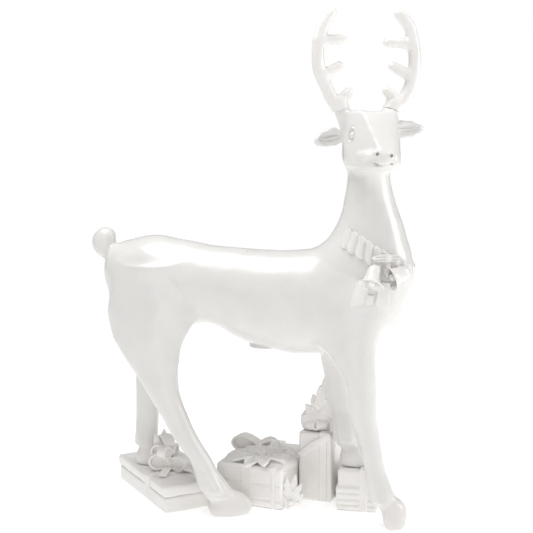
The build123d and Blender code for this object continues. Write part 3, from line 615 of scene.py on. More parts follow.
# ---------------------------------------------------------------- body
def hoof_pair(g, heel, toe, ankle, ankle_radii, width, height):
    """Cloven hoof from ankle to ground between heel and toe."""
    heel, toe, ankle = (np.array(v, dtype=float) for v in (heel, toe, ankle))
    run = toe - heel
    length = np.hypot(run[0], run[1])
    run = run / np.linalg.norm(run)
    across = np.cross(UP, run)
    lift = np.cross(run, across)
    middle = heel + run * length * 0.5 + above(height * 0.36)
    size = (length * 0.56, width * 0.34, height * 0.62)
    d = gather((ball(g, middle + across * side * width * 0.24, size, (run, across, lift))
                for side in (-1, 1)), 5)
    body = strand(g, [ankle, heel * 0.45 + toe * 0.55 + above(height * 0.55)],
                  ankle_radii, width * 0.42, 10)
    return blend_min(d, body, 14)


HOOVES = {
    "hoof_hind_right": dict(heel=(-122, -84, 0), toe=(-36, -45, 0), ankle=(-108, -84, 60), ankle_radii=27,
                            width=58, height=52, floor=0, top=62),
    "hoof_front_right": dict(heel=(304, -85, 6), toe=(352, -79, 6), ankle=(301, -85, 72), ankle_radii=24,
                             width=52, height=62, floor=0, top=72),
    "hoof_hind_left": dict(heel=(-362, 83, 68), toe=(-292, 80, 68), ankle=(-342, 85, 135), ankle_radii=27,
                           width=54, height=50, floor=68, top=132),
    "hoof_front_left": dict(heel=(182, 58, 105), toe=(240, 52, 105), ankle=(196, 60, 172), ankle_radii=26,
                            width=52, height=52, floor=105, top=164),
}


def hoof_field(g, name):
    spec = HOOVES[name]
    d = hoof_pair(g, *(spec[key] for key in ("heel", "toe", "ankle", "ankle_radii", "width", "height")))
    return blend_max(d, spec["floor"] - g.z, 4)


def cuff(g, leg, z_top, z_low, turns, flare):
    """Grooved fringe of hair over a hoof, scalloped at its lower edge."""
    cx, cy, rx, ry = curve(LEGS[leg], g.z)
    angle = np.arctan2(g.y - cy, g.x - cx)
    locks = np.abs(np.sin(angle * turns / 2 + 0.4 * np.sin(angle * 3)))
    u = np.clip((z_top - g.z) / (z_top - z_low), 0, 1)
    bulge = flare * np.sin(np.pi * np.clip(u * 0.62, 0, 1)) * (0.55 + 0.6 * locks**0.7)
    d = oval(g.x - cx, g.y - cy, rx + bulge, ry + bulge)
    low = z_low - 5 * locks**0.6 + 3
    return blend_max(np.maximum(d, g.z - z_top), low - g.z, 4)


TAIL = [(-388, 0, 622), (-400, 0, 636), (-416, 0, 648), (-421, 0, 660), (-412, 0, 672)]
CREASES = [
    ([(-226, -104, 588), (-196, -102, 560), (-184, -101, 530), (-183, -99, 500)], 3.4),
    ([(-214, -106, 575), (-205, -104, 540)], 2.2),
    ([(118, -102, 452), (136, -106, 437), (152, -106, 424)], 3.0),
]


def body_parts(g):
    """Fields of the pieces that the body skin is split into."""
    parts = {"torso": torso(g), "neck": neck(g)}
    for name, stations in LEGS.items():
        parts[name] = limb(g, stations)
    for name in HOOVES:
        parts[name] = hoof_field(g, name)
    parts["tail"] = tail_field(g)
    return parts


def tail_field(g):
    d = strand(g, smooth_line(TAIL, 3), 21, 24, 8)
    tip = ball(g, (-419, 0, 655), (25, 24, 27))
    return blend_min(d, tip, 10)


def body_field(g, parts):
    d = blend_min(parts["torso"], parts["neck"], 34)
    for name in LEGS:
        k = 30 if "hind" in name else 34
        d = blend_min(d, parts[name], k)
    for name in HOOVES:
        d = blend_min(d, parts[name], 8)
    d = blend_min(d, parts["tail"], 9)
    for points, radius in CREASES:
        d = blend_max(d, -strand(g, smooth_line(points, 3), radius, radius * 0.6), 9)
    for leg, top, low, turns, flare in (("hind_leg_right", 112, 62, 9, 6), ("front_leg_right", 126, 66, 9, 5),
                                        ("front_leg_left", 236, 168, 8, 7)):
        d = blend_min(d, cuff(g, leg, top, low, turns, flare), 4)
    d = d + unevenness(g, 60, 1.3, 11) + unevenness(g, 24, 0.5, 12)
    return d


HEAD_CUT = 860


def build_deer():
    g = Grid((-456, -128, -8), (372, 130, 885), 2.75)
    parts = body_parts(g)
    field = body_field(g, parts)
    field = blend_min(field, skull(g), 16)
    field = np.maximum(field, -g.z)
    points, quads, normals = surface(g, field)
    centre = points[quads].mean(axis=1)
    index = np.clip(np.rint((centre - g.low) / g.step).astype(int), 0, np.array(g.shape) - 1)
    names = list(parts)
    near = np.stack([np.broadcast_to(parts[n], g.shape)[index[:, 0], index[:, 1], index[:, 2]]
                     for n in names])
    label = near.argmin(axis=0)
    top = centre[:, 2] < HEAD_CUT
    for number, name in enumerate(names):
        keep = (label == number) & top
        if name == "torso":
            for side, half in (("right", centre[:, 1] < 0), ("left", centre[:, 1] >= 0)):
                piece = skin_piece(f"torso_skin_{side}", points, quads, normals, keep & half, "shell_white")
                dress(piece, f"torso_shell_{side}")
            continue
        node = {"neck": "neck_shell"}.get(name, name)
        slot = "hoof_white" if "hoof" in name else "shell_white"
        dress(skin_piece(f"{name}_skin", points, quads, normals, keep, slot), node)


def build_head():
    g = Grid((112, -150, 838), (388, 84, 1012), 1.4)
    field = head_field(g) + unevenness(g, 40, 0.8, 21) + unevenness(g, 14, 0.35, 22)
    points, quads, normals = surface(g, field)
    centre = points[quads].mean(axis=1)
    keep = centre[:, 2] >= HEAD_CUT
    rest = skull(g)
    index = np.clip(np.rint((centre - g.low) / g.step).astype(int), 0, np.array(g.shape) - 1)
    pick = tuple(index.T)
    is_ear = {side: keep & (ear(g, side)[pick] < rest[pick] - 1) for side in (-1, 1)}
    for name, node, part, thickness in (
            ("head_skin", "head_shell", keep & ~is_ear[-1] & ~is_ear[1], SKIN),
            ("ear_right_skin", "ear_right", is_ear[-1], EAR_SKIN),
            ("ear_left_skin", "ear_left", is_ear[1], EAR_SKIN)):
        piece = skin_piece(name, points, quads, normals, part, "shell_white", thickness)
        dress(piece, node)


def build_antlers():
    for side, name in ((-1, "right"), (1, "left")):
        sweep = [head_point(x, f, z) for x in (side * 30, side * 156) for f in (-40, 15) for z in (30, 312)]
        low = np.min(sweep, axis=0) - 3
        high = np.max(sweep, axis=0) + 3
        g = Grid(low, high, 1.7)
        field = antler_field(g, side) + unevenness(g, 20, 0.4, 31 + side)
        cast(f"antler_{name}_horn", g, field, f"antler_{name}", "antler_white", f"antler_{name}")


# ---------------------------------------------------------------- collar, bow and bells
COLLAR_CENTRE = (233, 0, 673)
COLLAR_TILT = math.radians(31)
COLLAR_HALF = 23
PLEATS = 31
BOW_AT = np.array((301, -83, 643))
BOW_FACE = np.array((0.45, -0.89, 0.0))
BOW_ALONG = np.array((0.89, 0.45, 0.0))
BELL_MOUTH = 31
BELL_HEIGHT = 52
BELLS = {
    "right": ((270, -117, 585), (0.17, 0.50, 0.85)),
    "left": ((312, -93, 599), (0.80, 0.50, 0.33)),
}


def collar_field(g):
    """Gathered ribbon round the neck: rounded pleats, sharp valleys, wavy edges."""
    along = (math.cos(COLLAR_TILT), 0, -math.sin(COLLAR_TILT))
    up = (math.sin(COLLAR_TILT), 0, math.cos(COLLAR_TILT))
    _, _, w = local(g, COLLAR_CENTRE, (along, (0, 1, 0), up))
    cx, rx, ry = curve(NECK, g.z)
    angle = np.arctan2(g.y / ry, (g.x - cx) / rx)
    wave = np.abs(np.cos(angle * PLEATS / 2 + 0.35 * np.sin(angle * 5) + w * 0.006))
    gap = blend_min(neck(g), torso(g), 18)
    edge = np.clip(np.abs(w) / COLLAR_HALF, 0, 1)
    shown = np.clip((np.cos(angle) + 0.66) / 0.3, 0, 1)
    height = (2.2 + 7.0 * wave**0.75 + 2.2 * edge**3 * wave) * shown - 2.0 * (1 - shown)
    ribbon = blend_max(gap - height, -(gap + 2.5), 1)
    trim = np.abs(w - 1.5 * np.sin(angle * 7)) - (COLLAR_HALF - 4 + 5.0 * wave)
    return blend_max(ribbon, trim, 3)


def bow_point(s, t, out=0.0):
    """Point given across and up in the bow's own plane."""
    return BOW_AT + BOW_ALONG * s + np.array(UP) * t + BOW_FACE * out


def band(g, points, width, thick, face, k=3.0):
    """Flat ribbon through points: capsules squashed towards the face direction."""
    face = unit(face)
    parts = []
    for a, b in zip(points, points[1:]):
        a, b = np.array(a, dtype=float), np.array(b, dtype=float)
        run = unit(b - a)
        side = unit(np.cross(run, face))
        out = np.cross(side, run)
        half = np.linalg.norm(b - a) / 2
        size = (half + thick * 0.4, width / 2, thick / 2)
        parts.append(block(g, (a + b) / 2, size, thick * 0.45, (run, side, out)))
    return gather(parts, k)


def bow_loop_field(g, side):
    """One flattened loop of the bow, creased lengthwise and pinched at the knot."""
    reach = 30 if side > 0 else 27
    centre = bow_point(side * reach * 0.62, 2, 3)
    axes = (BOW_ALONG, np.array(UP), BOW_FACE)
    a, b, c = local(g, centre, axes)
    lobe = blend_max(oval(a, b * (1 + 0.02 * side * a), 19, 8), np.abs(c) - 7, 4)
    for rise in (-3.2, 3.2):
        groove = np.maximum(np.abs(b - rise - 0.03 * a) - 0.9, 3.5 - c)
        lobe = blend_max(lobe, -groove, 2)
    return lobe


def folded_tail(g, start, end, width, depth, folds, ends):
    """Ribbon tail with lengthwise folds and a scalloped end."""
    start, end = np.array(start, dtype=float), np.array(end, dtype=float)
    run = unit(end - start)
    side = unit(np.cross(run, BOW_FACE))
    out = np.cross(side, run)
    u, v, w = local(g, start, (run, side, out))
    length = np.linalg.norm(end - start)
    share = np.clip(u / length, 0, 1)
    half = width * (0.36 + 0.14 * share)
    fold = np.abs(np.cos(v / (width * (0.72 + 0.28 * share)) * math.pi * folds + 0.5))
    top = depth * (0.35 + 0.65 * fold**0.7)
    d = blend_max(w - top, np.abs(v) - half, 2)
    d = np.maximum(d, -w - 14)
    d = np.maximum(d, -u)
    return blend_max(d, u - length + ends * (1 - fold), 2)


def build_collar():
    g = Grid((112, -112, 588), (352, 112, 752), 1.7)
    cast("collar_ruffle_pleats", g, collar_field(g), "collar_ruffle", "trim_white")

    g = Grid((250, -132, 560), (362, -20, 682), 1.25)
    under = blend_min(neck(g), torso(g), 30)
    d = ball(g, bow_point(0, 0, 1), (9, 11, 10), (BOW_ALONG, UP, BOW_FACE))
    for rise in (-4, 3):
        crease = capsule(g, bow_point(-10, rise, 11), bow_point(10, rise + 2, 11), 1.2, 1.2)
        d = blend_max(d, -crease, 2)
    for side in (-1, 1):
        d = blend_min(d, bow_loop_field(g, side), 4)
    under_fold = [bow_point(-12, -66, 3), bow_point(10, -70, 3), bow_point(24, -64, 0)]
    d = np.minimum(d, band(g, under_fold, 11, 5, BOW_FACE))
    solid = np.maximum(d, -under - 3)
    cast("collar_bow_loops", g, solid, "collar_bow", "trim_white")

    g = Grid((205, -140, 488), (352, -30, 640), 1.25)
    under = blend_min(neck(g), torso(g), 30)
    parts = []
    for start, end, width, folds in (
            ((249, -100, 588), (238, -106, 522), 38, 2.2),
            ((268, -98, 560), (264, -106, 530), 20, 1.6),
            ((301, -92, 590), (293, -100, 498), 38, 3.1)):
        parts.append(folded_tail(g, start, end, width, 7, folds, 5))
    slant = band(g, [(240, -102, 588), (262, -108, 564), (278, -108, 545)], 16, 7, BOW_FACE)
    ribbon = blend_min(gather(parts), slant, 2)
    ribbon = blend_max(ribbon, under - 9, 3)
    ribbon = np.maximum(ribbon, -under - 2)
    cast("bow_tails_folded", g, ribbon, "bow_tails", "trim_white")


def lathe(name, profile, place, axis, slot, turns=72):
    """Surface of revolution round an axis from (radius, height) points, closed like a thick shell."""
    axis = unit(axis)
    helper = np.array((1.0, 0, 0)) if abs(axis[0]) < 0.9 else np.array((0, 1.0, 0))
    side = unit(np.cross(axis, helper))
    other = np.cross(axis, side)
    angles = np.linspace(0, 2 * math.pi, turns, endpoint=False)
    spokes = np.cos(angles)[:, None] * side + np.sin(angles)[:, None] * other
    rings = [np.array(place) + axis * h + r * spokes for r, h in profile]
    points = np.concatenate(rings)
    faces = []
    for i in range(len(profile) - 1):
        a = i * turns + np.arange(turns)
        b = i * turns + (np.arange(turns) + 1) % turns
        faces.append(np.stack([a, b, b + turns, a + turns], axis=1))
    return mesh_object(name, points, np.concatenate(faces), slot)


def bell_outline(mouth, height, grow):
    """Bell profile from lip to crown, moved in by grow."""
    heights = np.linspace(0, 1, 26)
    radii = 0.60 + 0.40 * np.exp(-heights * 7.5) - 0.10 * heights**2
    crown = np.sqrt(np.clip(1 - (np.clip(heights - 0.62, 0, 1) / 0.38) ** 2, 0, 1))
    radii = np.where(heights > 0.62, radii * (0.12 + 0.88 * crown), radii)
    return [(max(mouth * r - grow, 0.4), height * h * (1 if grow == 0 else (height - grow) / height))
            for r, h in zip(radii, heights)]


def build_bells():
    for side, (mouth, way) in BELLS.items():
        outer = bell_outline(BELL_MOUTH, BELL_HEIGHT, 0)
        inner = bell_outline(BELL_MOUTH, BELL_HEIGHT, 3)
        lip = [(BELL_MOUTH - 2.6, 0.2), (BELL_MOUTH - 1.4, -1.5),
               (BELL_MOUTH + 0.4, -1.4), (BELL_MOUTH + 0.9, 0.4)]
        profile = [(0.0, BELL_HEIGHT - 3)] + inner[::-1] + lip + outer[1:] + [(0.0, BELL_HEIGHT)]
        bell = lathe(f"bell_{side}_cast", profile, mouth, way, "trim_white")
        dress(bell, f"bell_{side}")
    g = Grid((245, -135, 560), (355, -60, 650), 1.25)
    parts = []
    for mouth, way in BELLS.values():
        way = unit(way)
        base = np.array(mouth)
        stem = capsule(g, base + way * 10, base + way * (BELL_HEIGHT - 4), 2.6, 2.6)
        parts.append(blend_min(stem, ball(g, base + way * 6, (8.6, 8.6, 8.6)), 3))
    cast("bell_clappers_cast", g, gather(parts), "bell_clappers", "trim_white")


# ---------------------------------------------------------------- gifts
LOW_GIFT = ((-233, -106), 39.4, 160, 321, 68)
MID_GIFT = ((-100, 3), -11, 147, 235, 105)
TALL_GIFT = ((68, 74), -10, 88, 150, 178)
SMALL_GIFT = ((173, 8), 0, 104, 128, 105)
LID_HEIGHT = 40


class Gift:
    """Box resting on the ground, with its own axes: along its front, into its depth, and up."""

    def __init__(self, gift):
        (x, y), heading, self.length, self.depth, self.height = gift
        turn = math.radians(heading)
        self.corner = np.array((x, y, 0.0))
        self.along = np.array((math.cos(turn), math.sin(turn), 0))
        self.into = np.array((-math.sin(turn), math.cos(turn), 0))
        self.axes = (self.along, self.into, np.array(UP))

    def at(self, a, b, c):
        return self.corner + self.along * a + self.into * b + above(c)

    def grid(self, low, high, step):
        corners = np.array([self.at(a, b, c) for a in (low[0], high[0]) for b in (low[1], high[1])
                            for c in (low[2], high[2])])
        return Grid(corners.min(axis=0), corners.max(axis=0), step)

    def box(self, g, low, high, radius):
        low, high = np.array(low, dtype=float), np.array(high, dtype=float)
        return block(g, self.at(*(low + high) / 2), (high - low) / 2, radius, self.axes)


def leaf(g, base, tip, width, thick, face, bend=0.0, serrated=0):
    """Pointed leaf with a midrib and side veins, curving towards its face side."""
    base, tip = np.array(base, dtype=float), np.array(tip, dtype=float)
    run = unit(tip - base)
    side = unit(np.cross(run, unit(face)))
    out = np.cross(side, run)
    length = np.linalg.norm(tip - base)
    u, v, w = local(g, base, (run, side, out))
    share = np.clip(u / length, 0, 1)
    half = width / 2 * np.clip(np.sin(math.pi * share**0.85), 0, 1) ** 0.8
    if serrated:
        half = half * (0.78 + 0.22 * np.abs(np.sin(share * math.pi * serrated)))
    rise = bend * np.sin(math.pi * share) + 0.02 * thick * np.abs(v)
    ridge = 1.3 * np.exp(-(v / 1.8) ** 2) + 0.5 * np.cos((np.abs(v) - u * 0.8) * 0.55)
    d = blend_max(np.abs(w - rise) - thick / 2 - ridge * (w > rise), np.abs(v) - half, 1.5)
    return np.maximum(d, np.maximum(-u, u - length))


def ribbon_loop(g, root, way, up, reach, height, width, thick=5.0):
    """Standing loop of ribbon whose opening faces across its length."""
    root = np.array(root, dtype=float)
    way, up = unit(way), unit(up)
    across = np.cross(way, up)
    a, b, c = local(g, root + way * reach / 2 + up * height / 2, (way, up, across))
    pinch = np.clip(0.55 + 0.45 * (a + reach / 2) / (reach * 0.6), 0.45, 1.0)
    disc = oval(a, b / pinch, reach / 2, height / 2)
    ring = blend_max(np.abs(disc) - thick / 2, np.abs(c) - width / 2, 2)
    web = np.maximum(disc, np.abs(c) - width * 0.16)
    return np.minimum(ring, web)


def gift_ribbon(g, gift, along, across, low, high, thick=4.0):
    """Band over the front and the top with turned edges and a middle groove."""
    front = gift.box(g, (along - across / 2, -thick, low), (along + across / 2, 6, high + thick), 1.6)
    over = gift.box(g, (along - across / 2, -thick, high - 6),
                    (along + across / 2, gift.depth, high + thick), 1.6)
    d = np.minimum(front, over)
    offset = local(g, gift.corner, gift.axes)[0] - along
    for place in (-across * 0.22, across * 0.22):
        groove = np.abs(offset - place) - 0.9
        d = blend_max(d, -np.maximum(groove, -(d + 1.4)), 0.8)
    return d


def weathered(g, d, seed, amount=0.8):
    return d + unevenness(g, 30, amount, seed) + unevenness(g, 11, amount * 0.35, seed + 1)


def build_low_gift():
    gift = Gift(LOW_GIFT)
    g = gift.grid((-9, -9, -6), (gift.length + 9, gift.depth + 9, gift.height + 8), 2.2)
    base = gift.box(g, (0, 0, 0), (gift.length, gift.depth, LID_HEIGHT - 0.5), 5)
    cast("gift_low_base", g, np.maximum(weathered(g, base, 41), -g.z), "gift_low_box", "gift_white")
    lid = gift.box(g, (-4, -4, LID_HEIGHT), (gift.length + 4, gift.depth + 4, gift.height), 8)
    cast("gift_low_cap", g, weathered(g, lid, 43), "gift_low_lid", "gift_white")
    band_low = gift.box(g, (99, -8, LID_HEIGHT + 1), (125, 4, gift.height + 4), 2)
    band_top = gift.box(g, (99, -8, gift.height - 4), (125, gift.depth + 3, gift.height + 4), 2)
    side_low = gift.box(g, (-8, 92, LID_HEIGHT + 1), (4, 118, gift.height + 4), 2)
    side_top = gift.box(g, (-8, 92, gift.height - 4), (gift.length, 118, gift.height + 4), 2)
    d = np.minimum(np.minimum(band_low, band_top), np.minimum(side_low, side_top))
    cast("gift_low_bands", g, weathered(g, d, 45, 0.5), "gift_low_ribbon", "gift_white")

    top = gift.height
    g = gift.grid((-6, 40, top - 30), (150, 235, top + 116), 1.6)
    root = gift.at(62, 118, top + 4)
    toward = -gift.into * 0.86 - gift.along * 0.5
    sidewise = gift.along * 0.85 - gift.into * 0.52
    d = ball(g, root + above(18), (15, 13, 14))
    for way, reach, tall, width, lift in (
            (-sidewise, 50, 40, 30, 2), (sidewise * 0.9 + toward * 0.3, 46, 38, 28, 2),
            (-sidewise * 0.7 + gift.into * 0.6, 48, 40, 30, 22),
            (sidewise * 0.5 + gift.into * 0.8, 44, 36, 28, 24),
            (-sidewise * 0.3 + toward * 0.5, 34, 30, 26, 34), (gift.into, 46, 38, 30, 46)):
        d = blend_min(d, ribbon_loop(g, root + above(lift), way, UP, reach, tall, width, 6), 3)
    for tip, face_bend in ((gift.at(108, 78, top + 5), 2), (gift.at(20, 70, top + 6), 2)):
        d = np.minimum(d, band(g, [root + above(10), (root + tip) / 2 + above(6.0), tip], 22, 6, UP))
    for lean, far in ((-24, 86), (2, 98), (26, 80)):
        tip = root + gift.into * 40 + gift.along * lean + above(far)
        d = np.minimum(d, leaf(g, root + gift.into * 22, tip, 34, 7, toward, 4, 4))
    fall = [gift.at(118, 50, top + 8), gift.at(112, -2, top + 8), gift.at(111, -10, top - 22)]
    drape = band(g, fall, 24, 5, -gift.into + np.array(UP))
    d = np.minimum(d, drape)
    cast("gift_low_bow_loops", g, weathered(g, d, 47, 0.5), "gift_low_bow", "gift_white")


def build_middle_gift():
    gift = Gift(MID_GIFT)
    g = gift.grid((-44, -8, -6), (gift.length + 8, gift.depth + 8, gift.height + 8), 2.2)
    d = gift.box(g, (-34, 0, 0), (gift.length, gift.depth, gift.height), 9)
    for rise in (22, 61):
        fold = block(g, gift.at(gift.length / 2, -1, rise), (gift.length, 3.0, 1.4), 1.0, gift.axes)
        d = blend_max(d, -fold, 4)
    hatch, gland = (capsule(g, gift.at(along, gift.depth - 30, height),
                            gift.at(along, gift.depth + 20, height), radius, radius)
                    for along, height, radius in ((gift.length / 2 + 18, 53, 42.8), (25, 40, 8.2)))
    d = np.maximum(np.maximum(weathered(g, d, 51), -g.z), -np.minimum(hatch, gland))
    cast("gift_middle_body", g, d, "gift_middle_box", "gift_white")

    d = gift_ribbon(g, gift, 52, 26, 2, gift.height)
    fine = gift_ribbon(g, gift, 122, 12, 2, gift.height, 3.0)
    d = weathered(g, np.minimum(d, fine), 53, 0.4)
    cast("gift_middle_bands", g, d, "gift_middle_ribbon", "gift_white")

    top = gift.height
    g = gift.grid((-44, -20, top - 30), (gift.length + 16, 190, top + 52), 1.6)
    heart = gift.at(66, 60, top + 6)
    d = ball(g, heart + above(8), (13, 13, 10))
    for turn, reach, width, lift in (
            (-100, 74, 42, -8), (-62, 76, 42, 0), (-20, 80, 42, 4), (18, 72, 40, 6), (-140, 76, 42, -2),
            (178, 84, 42, 2), (140, 80, 42, 8), (60, 80, 42, 6), (100, 84, 42, 8)):
        ray = math.radians(turn)
        way = gift.along * math.cos(ray) + gift.into * math.sin(ray)
        tip = heart + way * reach + above(lift)
        d = np.minimum(d, leaf(g, heart + way * 6, tip, width, 7, UP, 7))
    for i in range(7):
        ray = i * 0.9
        bead = heart + np.array((9 * math.cos(ray), 9 * math.sin(ray), 15 + 2 * math.sin(i * 2.3)))
        d = blend_min(d, ball(g, bead, (4.5, 4.5, 4.5)), 1)
    back = gift.at(34, 118, top + 3)
    for where, radii in (((10, 70, top - 4), (44, 50, 20)), ((110, 70, top - 6), (44, 54, 20)),
                         ((60, 140, top - 6), (70, 44, 26))):
        d = blend_min(d, ball(g, gift.at(*where), radii, gift.axes), 5)
    d = np.minimum(d, ribbon_loop(g, back, -gift.along, UP, 70, 40, 34, 6))
    d = np.minimum(d, ribbon_loop(g, back, gift.along * 0.8 + gift.into * 0.5, UP, 52, 32, 30, 6))
    d = blend_min(d, ball(g, gift.at(74, 130, top + 22), (15, 13, 14)), 5)
    cast("gift_middle_petals", g, weathered(g, d, 55, 0.4), "gift_middle_flower", "gift_white")

    g = Grid((-6, -34, -4), (112, 48, 112), 1.5)
    parts = []
    base = np.array((62, -8, 10))
    for i, (dx, dz, width) in enumerate(((-34, 34, 18), (-26, 58, 20), (-8, 74, 22), (14, 82, 22),
                                         (30, 62, 20), (34, 34, 18), (-18, 20, 16), (20, 18, 16))):
        tip = base + np.array((dx, -6 + 8 * (i % 2), dz))
        parts.append(leaf(g, base + np.array((0, 4, 0)), tip, width, 6, (0, -1, 0.15), 4, 3))
    for berry in ((54, -16, 16), (64, -19, 20), (60, -18, 8)):
        parts.append(ball(g, berry, (6, 6, 6)))
    stem = [(58, -4, 4), (40, -12, 30), (52, -14, 56), (36, -12, 84), (50, -10, 96)]
    parts.append(strand(g, smooth_line(stem, 3), 3.4, 2.4))
    parts.append(ball(g, (62, 6, 22), (26, 16, 22)))
    d = gather(parts)
    cast("holly_sprig_leaves", g, np.maximum(weathered(g, d, 57, 0.3), -g.z), "holly_sprig", "gift_white")


def build_tall_gift():
    gift = Gift(TALL_GIFT)
    g = gift.grid((-8, -8, -6), (gift.length + 8, gift.depth + 8, gift.height + 8), 2.2)
    d = gift.box(g, (0, 0, 0), (gift.length, gift.depth, gift.height), 6)
    cast("gift_tall_body", g, np.maximum(weathered(g, d, 61), -g.z), "gift_tall_box", "gift_white")
    d = gift_ribbon(g, gift, 66, 20, 2, gift.height)
    rise = [gift.at(4, -2, 118), gift.at(40, -3, 148), gift.at(84, -2, gift.height - 4)]
    sash = band(g, rise, 18, 6, -gift.into)
    cast("gift_tall_bands", g, weathered(g, np.minimum(d, sash), 63, 0.4), "gift_tall_ribbon", "gift_white")

    top = gift.height
    g = gift.grid((-26, -14, top - 20), (gift.length + 24, 120, top + 62), 1.6)
    root = gift.at(40, 42, top + 4)
    d = ball(g, root + above(14), (15, 14, 13))
    for turn, reach, tall in ((190, 40, 34), (-12, 42, 34), (250, 36, 26), (-60, 36, 28), (110, 46, 36)):
        ray = math.radians(turn)
        way = gift.along * math.cos(ray) + gift.into * math.sin(ray)
        d = blend_min(d, ribbon_loop(g, root, way, UP, reach, tall, 26, 6), 3)
    cast("gift_tall_bow_loops", g, weathered(g, d, 65, 0.4), "gift_tall_bow", "gift_white")

    g = Grid((52, 50, top + 2), (184, 152, top + 164), 1.6)
    base = np.array((116, 104, top + 4))
    d = blend_min(ball(g, base + np.array((-4, 0, 18)), (44, 26, 40)),
                  ball(g, base + np.array((16, 2, 64)), (24, 18, 50)), 14)
    for i, (dx, dz, width) in enumerate(((-46, 34, 34), (-34, 62, 36), (-16, 88, 38), (4, 116, 36),
                                         (20, 146, 32), (34, 116, 30), (-10, 52, 34), (26, 70, 32))):
        tip = base + np.array((dx, -14 + 5 * (i % 3), dz))
        root = base + np.array((6, -2, -4 + dz * 0.25))
        d = np.minimum(d, leaf(g, root, tip, width, 8, (0.2, -1, 0.1), 6, 3))
    cast("gift_tall_leaf_spray", g, weathered(g, d, 67, 0.5), "gift_tall_leaves", "gift_white")


def build_small_gift():
    gift = Gift(SMALL_GIFT)
    g = gift.grid((-10, -10, -6), (gift.length + 8, gift.depth + 8, gift.height + 8), 2.2)
    lower = gift.box(g, (0, 0, 0), (gift.length, gift.depth, 62), 9)
    upper = gift.box(g, (4, 5, 40), (gift.length - 4, gift.depth, gift.height), 8)
    d = blend_min(lower, upper, 5)
    for rise in (16, 30, 46):
        groove = block(g, gift.at(gift.length / 2, -1, rise), (gift.length, 3.2, 1.6), 1.2, gift.axes)
        d = blend_max(d, -groove, 3)
    cast("gift_small_body", g, np.maximum(weathered(g, d, 71), -g.z), "gift_small_box", "gift_white")
    d = gift_ribbon(g, gift, 70, 20, 2, gift.height)
    hoof = hoof_field(g, "hoof_front_left")
    d = np.maximum(d, 0.5 - hoof)
    cast("gift_small_bands", g, weathered(g, d, 73, 0.4), "gift_small_ribbon", "gift_white")


# ---------------------------------------------------------------- carried-over CAD pieces
def finish_cad():
    steel = hardware("zinc_paint_steel", (0.42, 0.43, 0.44), 0.5, 0.3)
    zinc = hardware("zinc_plate", (0.55, 0.55, 0.56), 0.32, 1.0, scratch=220)
    holder = hardware("heatproof_plastic", (0.70, 0.69, 0.64), 0.45)
    cap = hardware("nickel_cap", (0.66, 0.65, 0.62), 0.25, 1.0, scratch=160)
    glass = hardware("frosted_bulb", (0.90, 0.88, 0.82), 0.35, 0.0, 0.45)
    rubber = hardware("seal_rubber", (0.03, 0.03, 0.03), 0.7)
    nylon = hardware("grey_nylon", (0.52, 0.52, 0.50), 0.45)
    sheath = hardware("lead_sheath", (0.66, 0.66, 0.63), 0.5)
    plate = resin("plate_sheet", (0.70, 0.69, 0.67), (0.66, 0.65, 0.63), roughness=0.5, coat=0.05)
    looks = {
        "steel": steel, "zinc": zinc, "lamp_holder": holder, "bulb_cap": cap, "bulb_glass": glass,
        "seal_rubber": rubber, "gland": nylon, "lead_sheath": sheath, "plate_white": plate,
        "hatch_white": plate, "socket_white": plate, **LOOKS,
    }
    for row in frame["record"]["subparts"]:
        data = frame["nodes"][row["node"]].data
        data.materials.clear()
        data.materials.append(looks[row["material_slot"]])


# ---------------------------------------------------------------- stage, light, camera
# The floor's glow is painted light and shade: dimmer near the statue as a painted soft shadow round its base,
# brighter far off as painted light that keeps the floor white where the lamps fall off
FLOOR_GLOW = (0.46, 0.8)        # emission near the statue and far from it
FLOOR_GLOW_FROM = (0.8, 3.0)    # metres over which it rises


def build_stage():
    floor = bpy.data.meshes.new("floor")
    reach = 12.0
    floor.from_pydata([(-reach, -reach, 0), (reach, -reach, 0), (reach, reach, 0), (-reach, reach, 0)], [],
                      [(0, 1, 2, 3)])
    obj = bpy.data.objects.new("floor", floor)
    bpy.context.scene.collection.objects.link(obj)
    look = Finish("pale_floor")
    put(look.shader, {"Base Color": (0.80, 0.80, 0.80, 1), "Roughness": 0.9, "Emission Color": (1, 1, 1, 1)})
    narrow = look.node("Mapping", {"Scale": (0.72, 1, 1)})
    away = look.node("VectorMath", {})
    away.operation = "LENGTH"
    glow = look.node("MapRange", {"From Min": FLOOR_GLOW_FROM[0], "From Max": FLOOR_GLOW_FROM[1],
                                  "To Min": FLOOR_GLOW[0], "To Max": FLOOR_GLOW[1]})
    glow.interpolation_type = "SMOOTHSTEP"
    look.link(look.coords.outputs["Object"], narrow, "Vector")
    look.link(narrow.outputs["Vector"], away, 0)
    look.link(away.outputs["Value"], glow, "Value")
    # painted shade near the statue and painted light far off, set through the floor's emission
    look.link(glow.outputs["Result"], look.shader, "Emission Strength")
    floor.materials.append(look.mat)
    obj.location.z = -0.0005


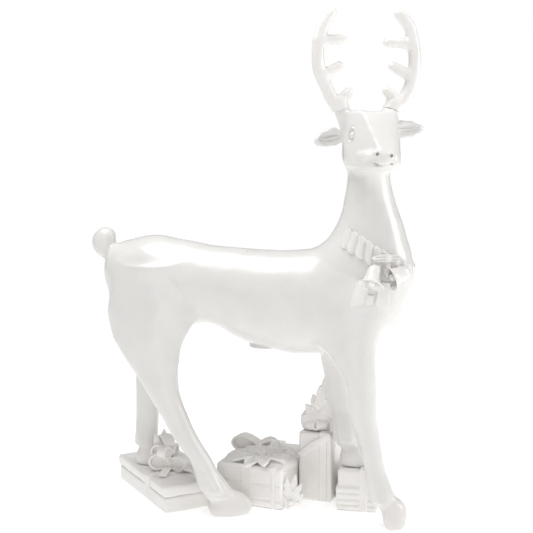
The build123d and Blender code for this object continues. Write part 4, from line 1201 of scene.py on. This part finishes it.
def area_light(name, place, target, size, power):
    light = bpy.data.lights.new(name, "AREA")
    light.energy = power
    light.size = size
    obj = bpy.data.objects.new(name, light)
    bpy.context.scene.collection.objects.link(obj)
    obj.location = place
    obj.rotation_euler = (Vector(target) - Vector(place)).to_track_quat("-Z", "Y").to_euler()


WORLD_GLOW = 0.27
LIGHTS = [
    ("key", (3.0, 0.2, 1.6), (0.1, 0, 0.7), 1.3, 38),
    ("front", (0.5, -3.4, 0.8), (0, 0, 0.25), 1.8, 12),
    ("top", (-0.5, -0.3, 3.0), (-0.1, 0, 0.5), 1.8, 60),
]


def build_light():
    world = bpy.data.worlds.new("studio")
    bpy.context.scene.world = world
    world.use_nodes = True
    tree = world.node_tree
    glow = tree.nodes["Background"]
    put(glow, {"Color": (1, 1, 1, 1), "Strength": WORLD_GLOW})
    white = tree.nodes.new("ShaderNodeBackground")
    put(white, {"Color": (1, 1, 1, 1), "Strength": 1.0})
    path = tree.nodes.new("ShaderNodeLightPath")
    choose = tree.nodes.new("ShaderNodeMixShader")
    tree.links.new(path.outputs["Is Camera Ray"], choose.inputs["Fac"])
    tree.links.new(glow.outputs["Background"], choose.inputs[1])
    tree.links.new(white.outputs["Background"], choose.inputs[2])
    tree.links.new(choose.outputs["Shader"], tree.nodes["World Output"].inputs["Surface"])
    for light in LIGHTS:
        area_light(*light)
    bpy.context.scene.view_settings.view_transform = "Standard"
    bpy.context.scene.view_settings.look = "None"


CAMERA_TURN = math.radians(12)
CAMERA_AWAY = 2.7
CAMERA_HEIGHT = 0.94
CAMERA_PITCH = 0.1225
LENS = 75.1


def build_camera():
    camera = bpy.data.cameras.new("camera")
    camera.lens = LENS
    camera.sensor_width = 36
    obj = bpy.data.objects.new("camera", camera)
    bpy.context.scene.collection.objects.link(obj)
    obj.location = (CAMERA_AWAY * math.sin(CAMERA_TURN), -CAMERA_AWAY * math.cos(CAMERA_TURN), CAMERA_HEIGHT)
    obj.rotation_euler = (math.pi / 2 - CAMERA_PITCH, 0, CAMERA_TURN)
    bpy.context.scene.camera = obj


build_camera()
build_light()
build_stage()
build_deer()
build_head()
build_antlers()
build_collar()
build_bells()
build_low_gift()
build_middle_gift()
build_tall_gift()
build_small_gift()
finish_cad()
